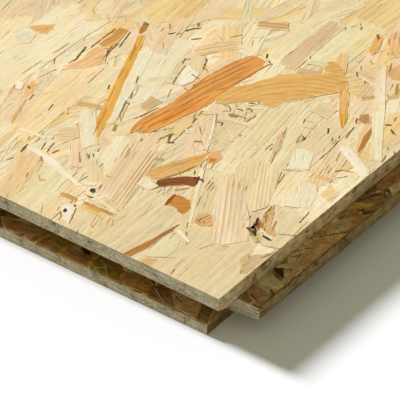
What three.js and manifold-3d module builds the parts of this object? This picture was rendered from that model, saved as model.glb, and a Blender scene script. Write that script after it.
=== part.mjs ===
// A flooring panel of oriented strand board, with a tongue and groove milled along all four edges.
//
// Millimetres, +Z up. X runs across the panel and Y along it. The panel lies flat, with the middle of
// its underside, tongues counted in, at the origin. The tongues are on the +X and +Y edges and the
// grooves on the -X and -Y edges. A depth is measured down from the top face, and a reach is measured
// across an edge: outwards from the joint line on a tongue, inwards from it on a groove.

import * as THREE from "three";
import { mergeVertices } from "three/addons/utils/BufferGeometryUtils.js";
import Module from "manifold-3d";

const wasm = await Module();
wasm.setup();

// The board. Its cover size is what it adds to a floor, from joint line to joint line.
const THICKNESS = 22;
const COVER_WIDTH = 675;
const COVER_LENGTH = 2500;

// The tongue has a flat upper side, which sets two panels level, and a tapered underside.
const TONGUE_REACH = 11;
const TONGUE_TOP_DEPTH = 8;
const TONGUE_TIP_THICKNESS = 6.1;
const TONGUE_TAPER = THREE.MathUtils.degToRad(7);
const TONGUE_TIP_RADIUS = 0.8;

// The lower shoulder stands back, so that the top faces close before the undersides do.
const LOWER_SHOULDER_SETBACK = 6;

// The groove follows the tongue with these clearances, and opens into a bevel on each lip.
const CLEARANCE_ABOVE_TONGUE = 0.15;
const CLEARANCE_BELOW_TONGUE = 0.3;
const CLEARANCE_AT_TIP = 1.9;
const UPPER_BEVEL_REACH = 5.5;
const UPPER_BEVEL_HEIGHT = 1.4;
const LOWER_BEVEL_REACH = 3.5;
const LOWER_BEVEL_HEIGHT = 1.3;
const GROOVE_CORNER_RADIUS = 0.6;

// Half the number of steps in a rounded corner, and how far a cutting shape runs past what it cuts.
const CORNER_STEPS = 2;
const OVERRUN = 10;

const grooveReach = TONGUE_REACH + CLEARANCE_AT_TIP;
const grooveTopDepth = TONGUE_TOP_DEPTH - CLEARANCE_ABOVE_TONGUE;

// Depth of the tongue's tapered underside, which runs on inwards to the lower shoulder.
function tongueUndersideDepth(reach) {
  const tipDepth = TONGUE_TOP_DEPTH + TONGUE_TIP_THICKNESS;
  return tipDepth + (TONGUE_REACH - reach) * Math.tan(TONGUE_TAPER);
}

function grooveFloorDepth(reach) {
  return tongueUndersideDepth(reach) + CLEARANCE_BELOW_TONGUE;
}

// The corners of the panel's section between its two joint lines, anticlockwise from the underside of
// the tongue's edge. The section's own x runs from the groove to the tongue, and its y is the height.
function sectionCorners(cover) {
  const tongueSide = (reach, depth, radius = 0) => ({
    point: new THREE.Vector2(cover / 2 + reach, THICKNESS - depth),
    radius,
  });
  const grooveSide = (reach, depth, radius = 0) => ({
    point: new THREE.Vector2(-cover / 2 + reach, THICKNESS - depth),
    radius,
  });
  return [
    tongueSide(-LOWER_SHOULDER_SETBACK, THICKNESS),
    tongueSide(-LOWER_SHOULDER_SETBACK, tongueUndersideDepth(-LOWER_SHOULDER_SETBACK)),
    tongueSide(TONGUE_REACH, tongueUndersideDepth(TONGUE_REACH), TONGUE_TIP_RADIUS),
    tongueSide(TONGUE_REACH, TONGUE_TOP_DEPTH, TONGUE_TIP_RADIUS),
    tongueSide(0, TONGUE_TOP_DEPTH),
    tongueSide(0, 0),
    grooveSide(0, 0),
    grooveSide(0, grooveTopDepth - UPPER_BEVEL_HEIGHT),
    grooveSide(UPPER_BEVEL_REACH, grooveTopDepth),
    grooveSide(grooveReach, grooveTopDepth, GROOVE_CORNER_RADIUS),
    grooveSide(grooveReach, grooveFloorDepth(grooveReach), GROOVE_CORNER_RADIUS),
    grooveSide(LOWER_BEVEL_REACH, grooveFloorDepth(LOWER_BEVEL_REACH)),
    grooveSide(0, grooveFloorDepth(0) + LOWER_BEVEL_HEIGHT),
    grooveSide(0, THICKNESS),
  ];
}

// A closed shape through the corners, with a tangent arc in each corner that has a radius.
function roundedShape(corners) {
  const shape = new THREE.Shape();
  shape.moveTo(corners[0].point.x, corners[0].point.y);
  corners.slice(1).forEach(({ point, radius }, index) => {
    if (radius === 0) {
      shape.lineTo(point.x, point.y);
      return;
    }
    const before = corners[index].point.clone().sub(point).normalize();
    const after = corners[index + 2].point.clone().sub(point).normalize();
    const halfAngle = Math.acos(before.dot(after)) / 2;
    const middle = before.clone().add(after).normalize();
    const centre = point.clone().addScaledVector(middle, radius / Math.sin(halfAngle));
    const start = point.clone().addScaledVector(before, radius / Math.tan(halfAngle)).sub(centre);
    const end = point.clone().addScaledVector(after, radius / Math.tan(halfAngle)).sub(centre);
    const clockwise = start.cross(end) < 0;
    shape.absarc(centre.x, centre.y, radius, start.angle(), end.angle(), clockwise);
  });
  shape.closePath();
  return shape;
}

// A section drawn upright on the XZ plane and swept along Y, half of its length to each side.
function sweptSection(cover, length) {
  const geometry = new THREE.ExtrudeGeometry(roundedShape(sectionCorners(cover)), {
    depth: length,
    bevelEnabled: false,
    curveSegments: CORNER_STEPS,
  });
  return geometry.translate(0, 0, -length / 2).rotateX(Math.PI / 2);
}

// A closed geometry as a solid that can be cut.
function solidFrom(geometry) {
  geometry.deleteAttribute("normal");
  geometry.deleteAttribute("uv");
  const merged = mergeVertices(geometry);
  return new wasm.Manifold(
    new wasm.Mesh({
      numProp: 3,
      vertProperties: merged.attributes.position.array,
      triVerts: new Uint32Array(merged.index.array),
    }),
  );
}

function geometryFrom(solid) {
  const mesh = solid.getMesh();
  const geometry = new THREE.BufferGeometry();
  geometry.setAttribute("position", new THREE.BufferAttribute(mesh.vertProperties, 3));
  geometry.setIndex(new THREE.BufferAttribute(mesh.triVerts, 1));
  return geometry;
}

// A box between three spans, each given as its low and its high value.
function boxBetween([lowX, highX], [lowY, highY], [lowZ, highZ]) {
  const box = new THREE.BoxGeometry(highX - lowX, highY - lowY, highZ - lowZ);
  return box.translate((lowX + highX) / 2, (lowY + highY) / 2, (lowZ + highZ) / 2);
}

// Where one edge's groove runs off the end of the next edge's tongue, it would leave a splinter, so
// the tongue stops at the groove's back. These are the spans of the piece that is cut away there:
// outwards from the tongue's lower shoulder, and in from the end of the panel.
const pastShoulder = (cover) => [
  cover / 2 - LOWER_SHOULDER_SETBACK,
  cover / 2 + TONGUE_REACH + OVERRUN,
];
const insideGroove = (cover) => [-cover / 2 - OVERRUN, -cover / 2 + grooveReach];
const belowTongueTop = [-OVERRUN, THICKNESS - TONGUE_TOP_DEPTH];

// The panel is milled as on the line: one section along its length, then the other across it.
function panelGeometry() {
  const runOut = 2 * (TONGUE_REACH + OVERRUN);
  const alongLength = sweptSection(COVER_WIDTH, COVER_LENGTH + runOut);
  const acrossWidth = sweptSection(COVER_LENGTH, COVER_WIDTH + runOut).rotateZ(Math.PI / 2);
  const longTongueEnd = boxBetween(
    pastShoulder(COVER_WIDTH),
    insideGroove(COVER_LENGTH),
    belowTongueTop,
  );
  const shortTongueEnd = boxBetween(
    insideGroove(COVER_WIDTH),
    pastShoulder(COVER_LENGTH),
    belowTongueTop,
  );
  const milled = solidFrom(alongLength)
    .intersect(solidFrom(acrossWidth))
    .subtract(solidFrom(longTongueEnd))
    .subtract(solidFrom(shortTongueEnd));
  return geometryFrom(milled).translate(-TONGUE_REACH / 2, -TONGUE_REACH / 2, 0);
}

const strandBoard = new THREE.MeshStandardMaterial({
  name: "strand_board",
  color: 0xe4d0a2,
  roughness: 0.75,
  metalness: 0,
});

const panel = new THREE.Mesh(panelGeometry(), strandBoard);
panel.name = "osb_panel";

const part = new THREE.Group();
part.add(panel);

export default part;
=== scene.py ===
# %% [markdown]
# # A flooring panel of oriented strand board
# The panel is pressed from thin strands of softwood, and a tongue and groove are milled on its edges.
# The CAD model gives its size and its milled section. This lesson keeps that section as the core and
# lays the strands on it one by one: on the two faces, on the tongues and in the grooves. Everything is
# in metres and in the frame of the CAD model, with X across the panel and Y along it.

# %% Load the frame
import math

import bmesh
import bpy
import numpy as np
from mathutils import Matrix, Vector


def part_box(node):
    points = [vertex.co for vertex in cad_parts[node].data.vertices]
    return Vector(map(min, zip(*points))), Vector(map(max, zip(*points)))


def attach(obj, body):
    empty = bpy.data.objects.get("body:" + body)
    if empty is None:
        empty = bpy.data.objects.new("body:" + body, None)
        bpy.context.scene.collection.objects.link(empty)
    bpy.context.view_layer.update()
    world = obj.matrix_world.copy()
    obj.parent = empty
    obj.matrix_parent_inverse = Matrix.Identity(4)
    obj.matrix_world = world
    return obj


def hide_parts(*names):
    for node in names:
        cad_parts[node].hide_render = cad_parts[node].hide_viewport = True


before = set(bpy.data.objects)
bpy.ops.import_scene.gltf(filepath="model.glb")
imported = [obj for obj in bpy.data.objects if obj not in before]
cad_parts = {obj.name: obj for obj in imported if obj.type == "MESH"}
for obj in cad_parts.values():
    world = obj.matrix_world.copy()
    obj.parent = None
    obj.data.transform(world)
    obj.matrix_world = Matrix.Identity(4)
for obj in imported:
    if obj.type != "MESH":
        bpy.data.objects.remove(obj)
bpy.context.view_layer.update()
panel_low, panel_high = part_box("osb_panel")
print("panel from", tuple(panel_low), "to", tuple(panel_high))

# %% [markdown]
# ## The camera
# A board is shown best from above one corner, where its face and both milled edges are seen. A short
# lens would splay the edges, and an orthographic camera would leave out the slight convergence that
# tells the eye how large the board is. So a very long lens stands far back, in a direction given by two
# angles, and looks at the corner where the short groove meets the long tongue.

# %% Placing and turning


def direction(azimuth, elevation):
    """The way from the panel to something at these angles; azimuth 0 is in front, towards -Y."""
    return Vector((math.sin(azimuth) * math.cos(elevation), -math.cos(azimuth) * math.cos(elevation),
                   math.sin(elevation)))


def placed(name, data):
    """A new object in the scene, at the origin."""
    made = bpy.data.objects.new(name, data)
    bpy.context.scene.collection.objects.link(made)
    return made


def turned(made, way):
    """Turns a camera or a lamp, which look down their own -Z, to look along a way."""
    made.rotation_mode = "QUATERNION"
    made.rotation_quaternion = way.to_track_quat("-Z", "Y")


# %% Camera
MM = 0.001
CAMERA_AZIMUTH = math.radians(37.19)
CAMERA_ELEVATION = math.radians(38.18)
FOCAL_LENGTH = 1000
SENSOR_WIDTH = 36
FRAME_WIDTH = 163.3 * MM
CORNER_RIGHT = 7.64 * MM
CORNER_BELOW = 40.4 * MM
TONGUE_REACH = 11 * MM

corner = Vector((panel_high.x - TONGUE_REACH, panel_low.y, panel_high.z))
back = direction(CAMERA_AZIMUTH, CAMERA_ELEVATION)
right = Vector((math.cos(CAMERA_AZIMUTH), math.sin(CAMERA_AZIMUTH), 0))
up = back.cross(right)
aim = corner - right * CORNER_RIGHT + up * CORNER_BELOW

camera_data = bpy.data.cameras.new("camera")
camera_data.lens, camera_data.sensor_width = FOCAL_LENGTH, SENSOR_WIDTH
camera = placed("camera", camera_data)
camera.location = aim + back * (FRAME_WIDTH * FOCAL_LENGTH / SENSOR_WIDTH)
turned(camera, -back)
bpy.context.scene.camera = camera
bpy.context.scene.view_settings.view_transform = "Standard"
print("camera is", round((camera.location - aim).length, 2), "m away")

# %% [markdown]
# ## Shader maths in Python
# A material is a web of nodes. It could be wired in the editor or line by line in a script, but then a
# reader can't see what it computes. Here one small class wraps a socket, so that an expression such as
# `1 - mask * 0.5` adds its Math nodes by itself. A second class holds the node tree, and its one method
# `node` makes every other node.

# %% Wire


class Wire:
    """An output of a node, or its place in an expression."""

    def __init__(self, sheet, socket):
        self.sheet, self.socket = sheet, socket

    def maths(self, operation, *others):
        return self.sheet.node("ShaderNodeMath", {"operation": operation},
                               dict(enumerate((self,) + others)))

    def other(self, output):
        """Another output of the same node."""
        return Wire(self.sheet, self.socket.node.outputs[output])

    def __add__(self, other):
        return self.maths("ADD", other)

    def __sub__(self, other):
        return self.maths("SUBTRACT", other)

    def __mul__(self, other):
        return self.maths("MULTIPLY", other)

    def __truediv__(self, other):
        return self.maths("DIVIDE", other)

    def __rsub__(self, other):
        return self.sheet.node("ShaderNodeMath", {"operation": "SUBTRACT"}, {0: other, 1: self})

    def __abs__(self):
        return self.maths("ABSOLUTE")

    __radd__ = __add__
    __rmul__ = __mul__

    def fraction(self):
        return self.maths("FRACT")

    def least(self, other):
        return self.maths("MINIMUM", other)

    def most(self, other):
        return self.maths("MAXIMUM", other)

    def fade(self, start, end, low=0.0, high=1.0):
        """Goes smoothly from low to high while this goes from start to end."""
        return self.sheet.node(
            "ShaderNodeMapRange", {"interpolation_type": "SMOOTHSTEP", "clamp": True},
            {"Value": self, "From Min": start, "From Max": end, "To Min": low, "To Max": high})


# %% Sheet
SPECULAR_LEVEL = 0.12


class Sheet:
    """The nodes of a material or of the world."""

    def __init__(self, owner):
        owner.use_nodes = True
        self.owner, self.tree = owner, owner.node_tree
        self.tree.nodes.clear()

    def node(self, kind, settings=None, inputs=None, output=0):
        """A new node: its settings are set first, then the values or links of its sockets."""
        made = self.tree.nodes.new(kind)
        for name, value in (settings or {}).items():
            if name == "stops":
                ramp = made.color_ramp.elements
                while len(ramp) < len(value):
                    ramp.new(0.5)
                for element, (place, colour) in zip(ramp, value):
                    element.position, element.color = place, (*colour, 1)
            else:
                setattr(made, name, value)
        for name, value in (inputs or {}).items():
            if isinstance(value, Wire):
                self.tree.links.new(value.socket, made.inputs[name])
            else:
                made.inputs[name].default_value = value
        return Wire(self, made.outputs[output]) if made.outputs else None

    def here(self):
        """The place on the object."""
        return self.node("ShaderNodeTexCoord", output="Object")

    def attribute(self, name, output="Vector"):
        return self.node("ShaderNodeAttribute", {"attribute_name": name}, output=output)

    def parts(self, vector):
        """The three numbers of a vector."""
        first = self.node("ShaderNodeSeparateXYZ", inputs={0: vector})
        return first, first.other(1), first.other(2)

    def vector(self, x, y, z):
        return self.node("ShaderNodeCombineXYZ", inputs={0: x, 1: y, 2: z})

    def noise(self, vector, detail=2.0, roughness=0.5, scale=1.0):
        return self.node("ShaderNodeTexNoise", inputs={
            "Vector": vector, "Scale": scale, "Detail": detail, "Roughness": roughness})

    def ramp(self, value, *stops):
        return self.node("ShaderNodeValToRGB", {"stops": stops}, {"Fac": value})

    def mix(self, share, below, above):
        """Two colours mixed by a share."""
        return self.node("ShaderNodeMix", {"data_type": "RGBA"}, {0: share, 6: below, 7: above}, 2)

    def scaled(self, vector, amount):
        return self.node("ShaderNodeVectorMath", {"operation": "SCALE"}, {0: vector, 3: amount})

    def multiplied(self, vector, other):
        return self.node("ShaderNodeVectorMath", {"operation": "MULTIPLY"}, {0: vector, 1: other})

    def tinted(self, share, colour, tint):
        """A colour that is multiplied by a tint, as far as a share says."""
        return self.mix(share, colour, self.multiplied(colour, tint))

    def surface(self, colour, roughness, height, height_scale, strength):
        """The matt surface of wood, with its colour, its roughness and its fine relief."""
        bump = self.node("ShaderNodeBump", inputs={
            "Height": height, "Strength": strength, "Distance": height_scale})
        shader = self.node("ShaderNodeBsdfPrincipled", inputs={
            "Base Color": colour, "Roughness": roughness, "Normal": bump,
            "Specular IOR Level": SPECULAR_LEVEL})
        self.node("ShaderNodeOutputMaterial", inputs={"Surface": shader})
        print(self.owner.name, "has", len(self.tree.nodes), "nodes")
        return self.owner


def linear(red, green, blue):
    """A colour as an eye would name it, 0 to 255, in the linear light that shaders use."""
    return tuple((part / 255) ** 2.2 for part in (red, green, blue))


def grey(level):
    return (level, level, level, 1)


# %% [markdown]
# ## Floor and light
# A board is shown on plain white paper, under one large soft lamp at its side and the even light of a
# white room. The background could be made white by turning the lamps up, but that would bleach the
# wood. Instead the camera sees the floor and the sky whiter than the wood does: Light Path tells the
# two apart. The pale yellow of the sky and the cooler lamp together give white on a level face.

# %% Floor
FLOOR_SIZE = 60
FLOOR_GAP = 0.05 * MM
FLOOR_SEEN = 0.95
FLOOR_LIFT = 0.048
FLOOR_LIFT_COLOUR = (1.0, 0.99, 0.75, 1)
FLOOR_BOUNCE = 0.68

floor_sheet = Sheet(bpy.data.materials.new("floor_white"))
camera_ray = floor_sheet.node("ShaderNodeLightPath", output="Is Camera Ray")
seen = camera_ray.most(camera_ray.other("Is Glossy Ray"))
floor_matt = floor_sheet.node("ShaderNodeBsdfDiffuse", inputs={
    "Color": floor_sheet.mix(seen, grey(FLOOR_BOUNCE), grey(FLOOR_SEEN))})
floor_glow = floor_sheet.node("ShaderNodeEmission", inputs={
    "Color": FLOOR_LIFT_COLOUR, "Strength": seen * FLOOR_LIFT})
floor_both = floor_sheet.node("ShaderNodeAddShader", inputs={0: floor_matt, 1: floor_glow})
floor_sheet.node("ShaderNodeOutputMaterial", inputs={"Surface": floor_both})

floor_shape = bmesh.new()
bmesh.ops.create_grid(floor_shape, x_segments=4, y_segments=4, size=FLOOR_SIZE / 2)
bmesh.ops.translate(floor_shape, vec=(0, 0, panel_low.z - FLOOR_GAP), verts=floor_shape.verts)
floor_mesh = bpy.data.meshes.new("floor")
floor_shape.to_mesh(floor_mesh)
floor_shape.free()
floor_mesh.materials.append(floor_sheet.owner)
floor = placed("floor", floor_mesh)
print("floor is", FLOOR_SIZE, "m wide")

# %% Sky and lamp
SKY_LEVEL = 0.25
SKY_COLOUR = (1.0, 0.98, 0.70, 1)
LAMP_LEVEL = 0.77
LAMP_COLOUR = (0.99, 1.0, 1.10)
LAMP_AZIMUTH = math.radians(-90)
LAMP_ELEVATION = math.radians(28.2)
LAMP_SOFTNESS = math.radians(9.5)

sky = Sheet(bpy.data.worlds.new("sky"))
camera_ray = sky.node("ShaderNodeLightPath", output="Is Camera Ray")
sky_light = sky.node("ShaderNodeBackground", inputs={
    "Color": sky.mix(camera_ray, SKY_COLOUR, grey(1)),
    "Strength": camera_ray * (1 - SKY_LEVEL) + SKY_LEVEL})
sky.node("ShaderNodeOutputWorld", inputs={"Surface": sky_light})
bpy.context.scene.world = sky.owner

# A level face gets the lamp's light at a slant, so the lamp is stronger by that slant.
lamp_data = bpy.data.lights.new("lamp", "SUN")
lamp_data.energy = LAMP_LEVEL * math.pi / math.sin(LAMP_ELEVATION)
lamp_data.angle, lamp_data.color = LAMP_SOFTNESS, LAMP_COLOUR
turned(placed("lamp", lamp_data), -direction(LAMP_AZIMUTH, LAMP_ELEVATION))
print("level of light on the top face:", round(LAMP_LEVEL + SKY_LEVEL, 2))

# %% [markdown]
# ## The milled edges
# Where the cutter has gone through, the strands are seen from their sides and ends, as thin layers
# that are greyer and darker than the faces. They could be modelled as a stack of plates, but the cutter
# has left them flush, so only their colour changes and bump gives their fine relief. The pattern is
# noise on Object coordinates, squeezed along Z. The long edges are cut along the strands and look
# browner than the short ones. Below the lip their tint is also painted shade, darker downwards.

# %% Milled wood: layers
LAYERS_PER_METRE, STREAKS_PER_METRE = 900, 90
WAVES_PER_METRE, WAVE_HEIGHT = 60, 6 * MM
MOTTLE_PER_METRE, GRAIN_PER_METRE = 260, 1500

edge = Sheet(bpy.data.materials.new("milled_wood"))
here = edge.here()
x, y, z = edge.parts(here)
facing_x, _, facing_z = edge.parts(edge.node("ShaderNodeNewGeometry", output="Normal"))
level_face = abs(facing_z).fade(0.5, 0.8)
long_edge = abs(facing_x).fade(0.5, 0.8)

wave = (edge.noise(here, 1.0, 0.5, WAVES_PER_METRE) - 0.5) * WAVE_HEIGHT
layers = edge.noise(edge.vector(x * STREAKS_PER_METRE, y * STREAKS_PER_METRE,
                                (z + wave) * LAYERS_PER_METRE), 3.0, 0.6)
mottle = edge.noise(here, 2.0, 0.6, MOTTLE_PER_METRE)
grain = edge.noise(here, 3.0, 0.7, GRAIN_PER_METRE)
upright_colour = edge.ramp(
    layers * 0.5 + mottle * 0.25 + grain * 0.25,
    (0.34, linear(130, 108, 78)), (0.43, linear(186, 170, 132)),
    (0.52, linear(208, 196, 160)), (0.62, linear(224, 212, 178)))
print("layers of about", round(1000 / LAYERS_PER_METRE, 1), "mm")

# %% Milled wood: level faces
LAYER_BENEATH = linear(206, 176, 122)
NEAR_TOP = 20 * MM, 21 * MM
NEAR_UNDERSIDE = 2 * MM, 1 * MM

# On a level milled face the cutter has opened strands that lie flat, in the browner inner layers.
cells = edge.vector(x * 95 + y * 30 + wave * 900, y * 34 - x * 20, z * 250)
cell_colour = edge.node("ShaderNodeTexVoronoi", inputs={0: cells, "Scale": 1}, output="Color")
cell_pick, _, _ = edge.parts(cell_colour)
opened_colour = edge.ramp(
    cell_pick * 0.7 + layers * 0.3,
    (0.0, linear(96, 74, 40)), (0.3, linear(140, 110, 62)),
    (0.6, linear(160, 130, 78)), (1.0, linear(136, 100, 52)))
# Between the strands of a face, the layer beneath shows as pale as they are.
near_face = z.fade(*NEAR_TOP).most(z.fade(*NEAR_UNDERSIDE))
level_colour = edge.mix(near_face, opened_colour, edge.scaled(LAYER_BENEATH, 0.8 + layers * 0.4))
edge_colour = edge.mix(level_face, upright_colour, level_colour)
print("level faces are pale above", NEAR_TOP[0] / MM, "mm")

# %% Milled wood: tints and relief
LONG_EDGE_TINT = (1.18, 1.02, 0.82, 1)
# The tongue's two tints are partly its dark inner layers and partly painted shade.
TONGUE_TIP_TINT_AND_SHADE = (0.62, 0.49, 0.33, 1)
TONGUE_FOOT_TINT_AND_SHADE = (0.52, 0.40, 0.26, 1)
INNER_LAYERS = 14.2 * MM, 14.8 * MM
TONGUE_FOOT = 8.5 * MM, 11 * MM
EDGE_BUMP = 0.35 * MM

# On the long edge the lip is warm, and the tongue is cut from the dark inner layers. Below the lip the
# tint is also painted shade, darker towards the foot, as on the tongue's side that faces away from the
# lamp.
tongue_tint_and_shade = edge.mix(z.fade(*TONGUE_FOOT, 1, 0), TONGUE_TIP_TINT_AND_SHADE, TONGUE_FOOT_TINT_AND_SHADE)
long_tint_and_shade = edge.mix(z.fade(*INNER_LAYERS, 1, 0), LONG_EDGE_TINT, tongue_tint_and_shade)
edge_colour = edge.tinted(long_edge, edge_colour, long_tint_and_shade)

# Pits are painted shade, the shade in small voids of the edge, up to 45 % darker.
pit_shade = mottle.fade(0.40, 0.34) * grain.fade(0.6, 0.45)
patch = edge.noise(edge.vector(x * 70, y * 70, z * 160), 2.0, 0.6)
patchy = ((mottle - 0.5) * 0.9 + (patch - 0.5) * 0.7) * (0.35 + long_edge * 0.65)
edge_level = (1 + (grain - 0.5) * 1.3 + (layers - 0.5) * 0.3 + patchy) * (1 - pit_shade * 0.45)
milled_wood = edge.surface(edge.scaled(edge_colour, edge_level), 0.85,
                           layers + grain * 0.4 + mottle * 0.5, EDGE_BUMP, 0.9)

# %% [markdown]
# ## Strand wood
# Every strand is a slice of softwood. Its growth rings run along it as lines, its fibres are finer
# streaks, and no two strands have the same tone. A material for each would mean thousands. Instead
# there is one, and the mesh carries what is a strand's own as attributes: how far a point lies along
# and across it, its half size and the gap between its rings, how its rings run and how strong they are,
# its tone, and the tone of what lies beneath it.

# %% Strand wood: what the mesh tells
NO_OUTLINE = 2.0


class StrandSheet(Sheet):
    """The nodes of strand wood, with the numbers that the mesh carries for each strand."""

    def __init__(self, name):
        super().__init__(bpy.data.materials.new(name))
        self.along, self.across, self.seed = self.parts(self.attribute("Strand"))
        self.half_length, self.half_width, self.ring_gap = self.parts(self.attribute("Form"))
        self.slant, self.arch, self.contrast = self.parts(self.attribute("Figure"))
        self.tone = self.attribute("Tone", "Color")
        # The tone's alpha says how worn a strand's edge is and how strong the painted shade along its rim
        # is.
        self.worn = self.tone.other("Alpha")
        self.beneath = self.attribute("Beneath", "Color")
        self.from_outline = self.beneath.other("Alpha")
        self.place = self.here()
        self.x, self.y, self.z = self.parts(self.place)
        self.fibre = self.in_strand(95, 1250, 53, 3.0, 0.65)
        self.streak = self.in_strand(18, 300, 29, 2.0, 0.55)
        self.blotch = self.in_strand(34, 75, 91)
        self.rough = self.in_strand(230, 430, 17, 2.0, 0.6)

    def in_strand(self, along, across, seed, detail=2.0, roughness=0.5):
        """Noise that follows the strand, from how many waves a metre has along and across it."""
        return self.noise(self.vector(self.along * along, self.across * across, self.seed * seed),
                          detail, roughness)


# %% [markdown]
# A growth ring goes dark slowly, as the tree's summer wood does, and ends sharply. A wave texture would
# be even and straight, so the rings come from the fraction of a sum instead: the way across the strand,
# bent by the strand's slant and arch, and swayed by noise. Where a second noise is low a ring fades
# out, so that none is quite whole.

# %% Strand wood: growth rings
RING_SWAY = 3.4 * MM
RING_BREAK = 1.1 * MM


def growth_rings(wood):
    """Where rings are dark, and where the fine vein at a ring's end is darkest."""
    sway = wood.in_strand(14, 30, 71, 1.5) - 0.5
    whole = wood.in_strand(38, 150, 37)
    ring_at = (wood.across + wood.slant * wood.along + wood.arch * wood.along * wood.along
               + sway * RING_SWAY + (whole - 0.5) * RING_BREAK)
    phase = (ring_at / wood.ring_gap + wood.seed * 13).fraction()
    ring = phase.fade(0.15, 0.85) * phase.fade(1.0, 0.85) * whole.fade(0.34, 0.6, 0.2, 1)
    vein = phase.fade(0.66, 0.84) * phase.fade(1.0, 0.9) * whole.fade(0.50, 0.60)
    return ring * wood.contrast, vein * wood.contrast.fade(0.35, 0.9)


# %% [markdown]
# A strand is thin at its torn ends and at its feathered sides, where the tone of what lies beneath it
# shows through. Real transparency would slow the render and be lost in the export, so the mesh holds
# the tone beneath and the shader mixes the two. A chip with an outline of its own carries a number that
# goes from 0 on its outline to 1 on a ring inside it, and so tells how near the border is.

# %% Strand wood: thin ends and sides
OUTLINE_GAP = 5.0 * MM
THIN_SIDE = 1.5 * MM
SLIGHT = 0.3 * MM, 1.0 * MM


def thin_parts(wood, fray_length):
    """How well a strand covers what lies beneath it, and how far a place is from its border."""
    outlined = wood.from_outline.maths("LESS_THAN", (1 + NO_OUTLINE) / 2)
    end_gap = wood.half_length - abs(wood.along)
    outline_gap = wood.from_outline * OUTLINE_GAP * (0.45 + wood.worn * 0.55)
    side_gap = (wood.half_width - abs(wood.across)) * (1 - outlined) + outline_gap * outlined

    torn = (wood.half_length * 0.25).least(fray_length)
    frayed = (end_gap / torn + (wood.streak - 0.5) * 4.5 + 0.05).fade(0.0, 0.8).most(outlined)
    crumbly = (wood.in_strand(800, 1700, 19, 2.0, 0.6) - 0.5) * wood.half_width.fade(*SLIGHT, 1, 0)
    feathered = (side_gap / (wood.half_width * 0.35).least(THIN_SIDE) + (wood.blotch - 0.5) * 3.6
                 + (wood.rough - 0.5) * 3.4 + crumbly * 9.0 + 0.25).fade(0.0, 1.1)
    return frayed * feathered * 0.94 + 0.02, side_gap.least(end_gap + outlined)


# %% [markdown]
# A strand's sides lift a little from the board and its surface splits as it dries. So thin dark lines
# lie along its grain, and the shade under a lifted side is painted as a thin dark line along its border.
# They could be cut into the mesh, but they are finer than a tenth of a millimetre, so they are painted,
# and the bump sinks them. A strand with hardly any rings is clean wood, and has hardly any splits and
# scratches either.

# %% Strand wood: splits, scratches and painted shade along rims
RIM_WAVER = 1.6 * MM
RIM_WIDTH = 0.5 * MM
RIM_DEEPEST = 0.75
CLEAN_WOOD = 0.03, 0.14


def dark_lines_and_rim_shade(wood, border):
    """How dark the lines and the painted shade along the rim are, and how deep they go."""
    tight = wood.in_strand(150, 90, 211, 1.0).fade(0.46, 0.56)
    # The rim is painted shade: the shade that a lifted side casts along the strand's border.
    rim = (border + (wood.rough - 0.5) * RIM_WAVER).fade(0.0, RIM_WIDTH, 1, 0) * wood.worn * tight
    split = wood.in_strand(85, 850, 311, 1.0).fade(0.66, 0.73)
    x, y, z = wood.x, wood.y, wood.z
    scratches = (wood.noise(wood.vector(x * 820 + y * 260, y * 170, z), 1.0).fade(0.68, 0.75)
                 + wood.noise(wood.vector(x * 700 - y * 380, y * 190, z + 3), 1.0).fade(0.69, 0.76))
    lines = (split * 0.34 + scratches * 0.26) * wood.contrast.fade(*CLEAN_WOOD, 0.1, 1)
    return (rim * 0.6 + lines).least(RIM_DEEPEST), split + rim * 0.5


# %% [markdown]
# The finish puts these together: a strand's tone goes warm in blotches, darkens in its rings and veins,
# thins out over what lies beneath, takes a stain that spreads over several strands, and last the dark
# lines and the painted shade along its rim. The inner layers, which the tongue and groove lay open, are
# the same wood with bruises from the cutter, with painted shade on the bevel at a groove's mouth.

# %% Strand wood: the finish
WARM_TINT = (0.99, 0.93, 0.78)
RING_TINT = (0.62, 0.50, 0.36)
VEIN_TINT = (0.46, 0.32, 0.20)
# This tint darkens the splits and scratches, and the painted shade along the rims.
LINE_AND_SHADE_TINT = (0.50, 0.38, 0.22)
BRUISE_TINT = (0.86, 0.66, 0.44)
MOUTH = 3.3 * MM, 3.7 * MM
STRAND_BUMP = 0.14 * MM


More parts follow.
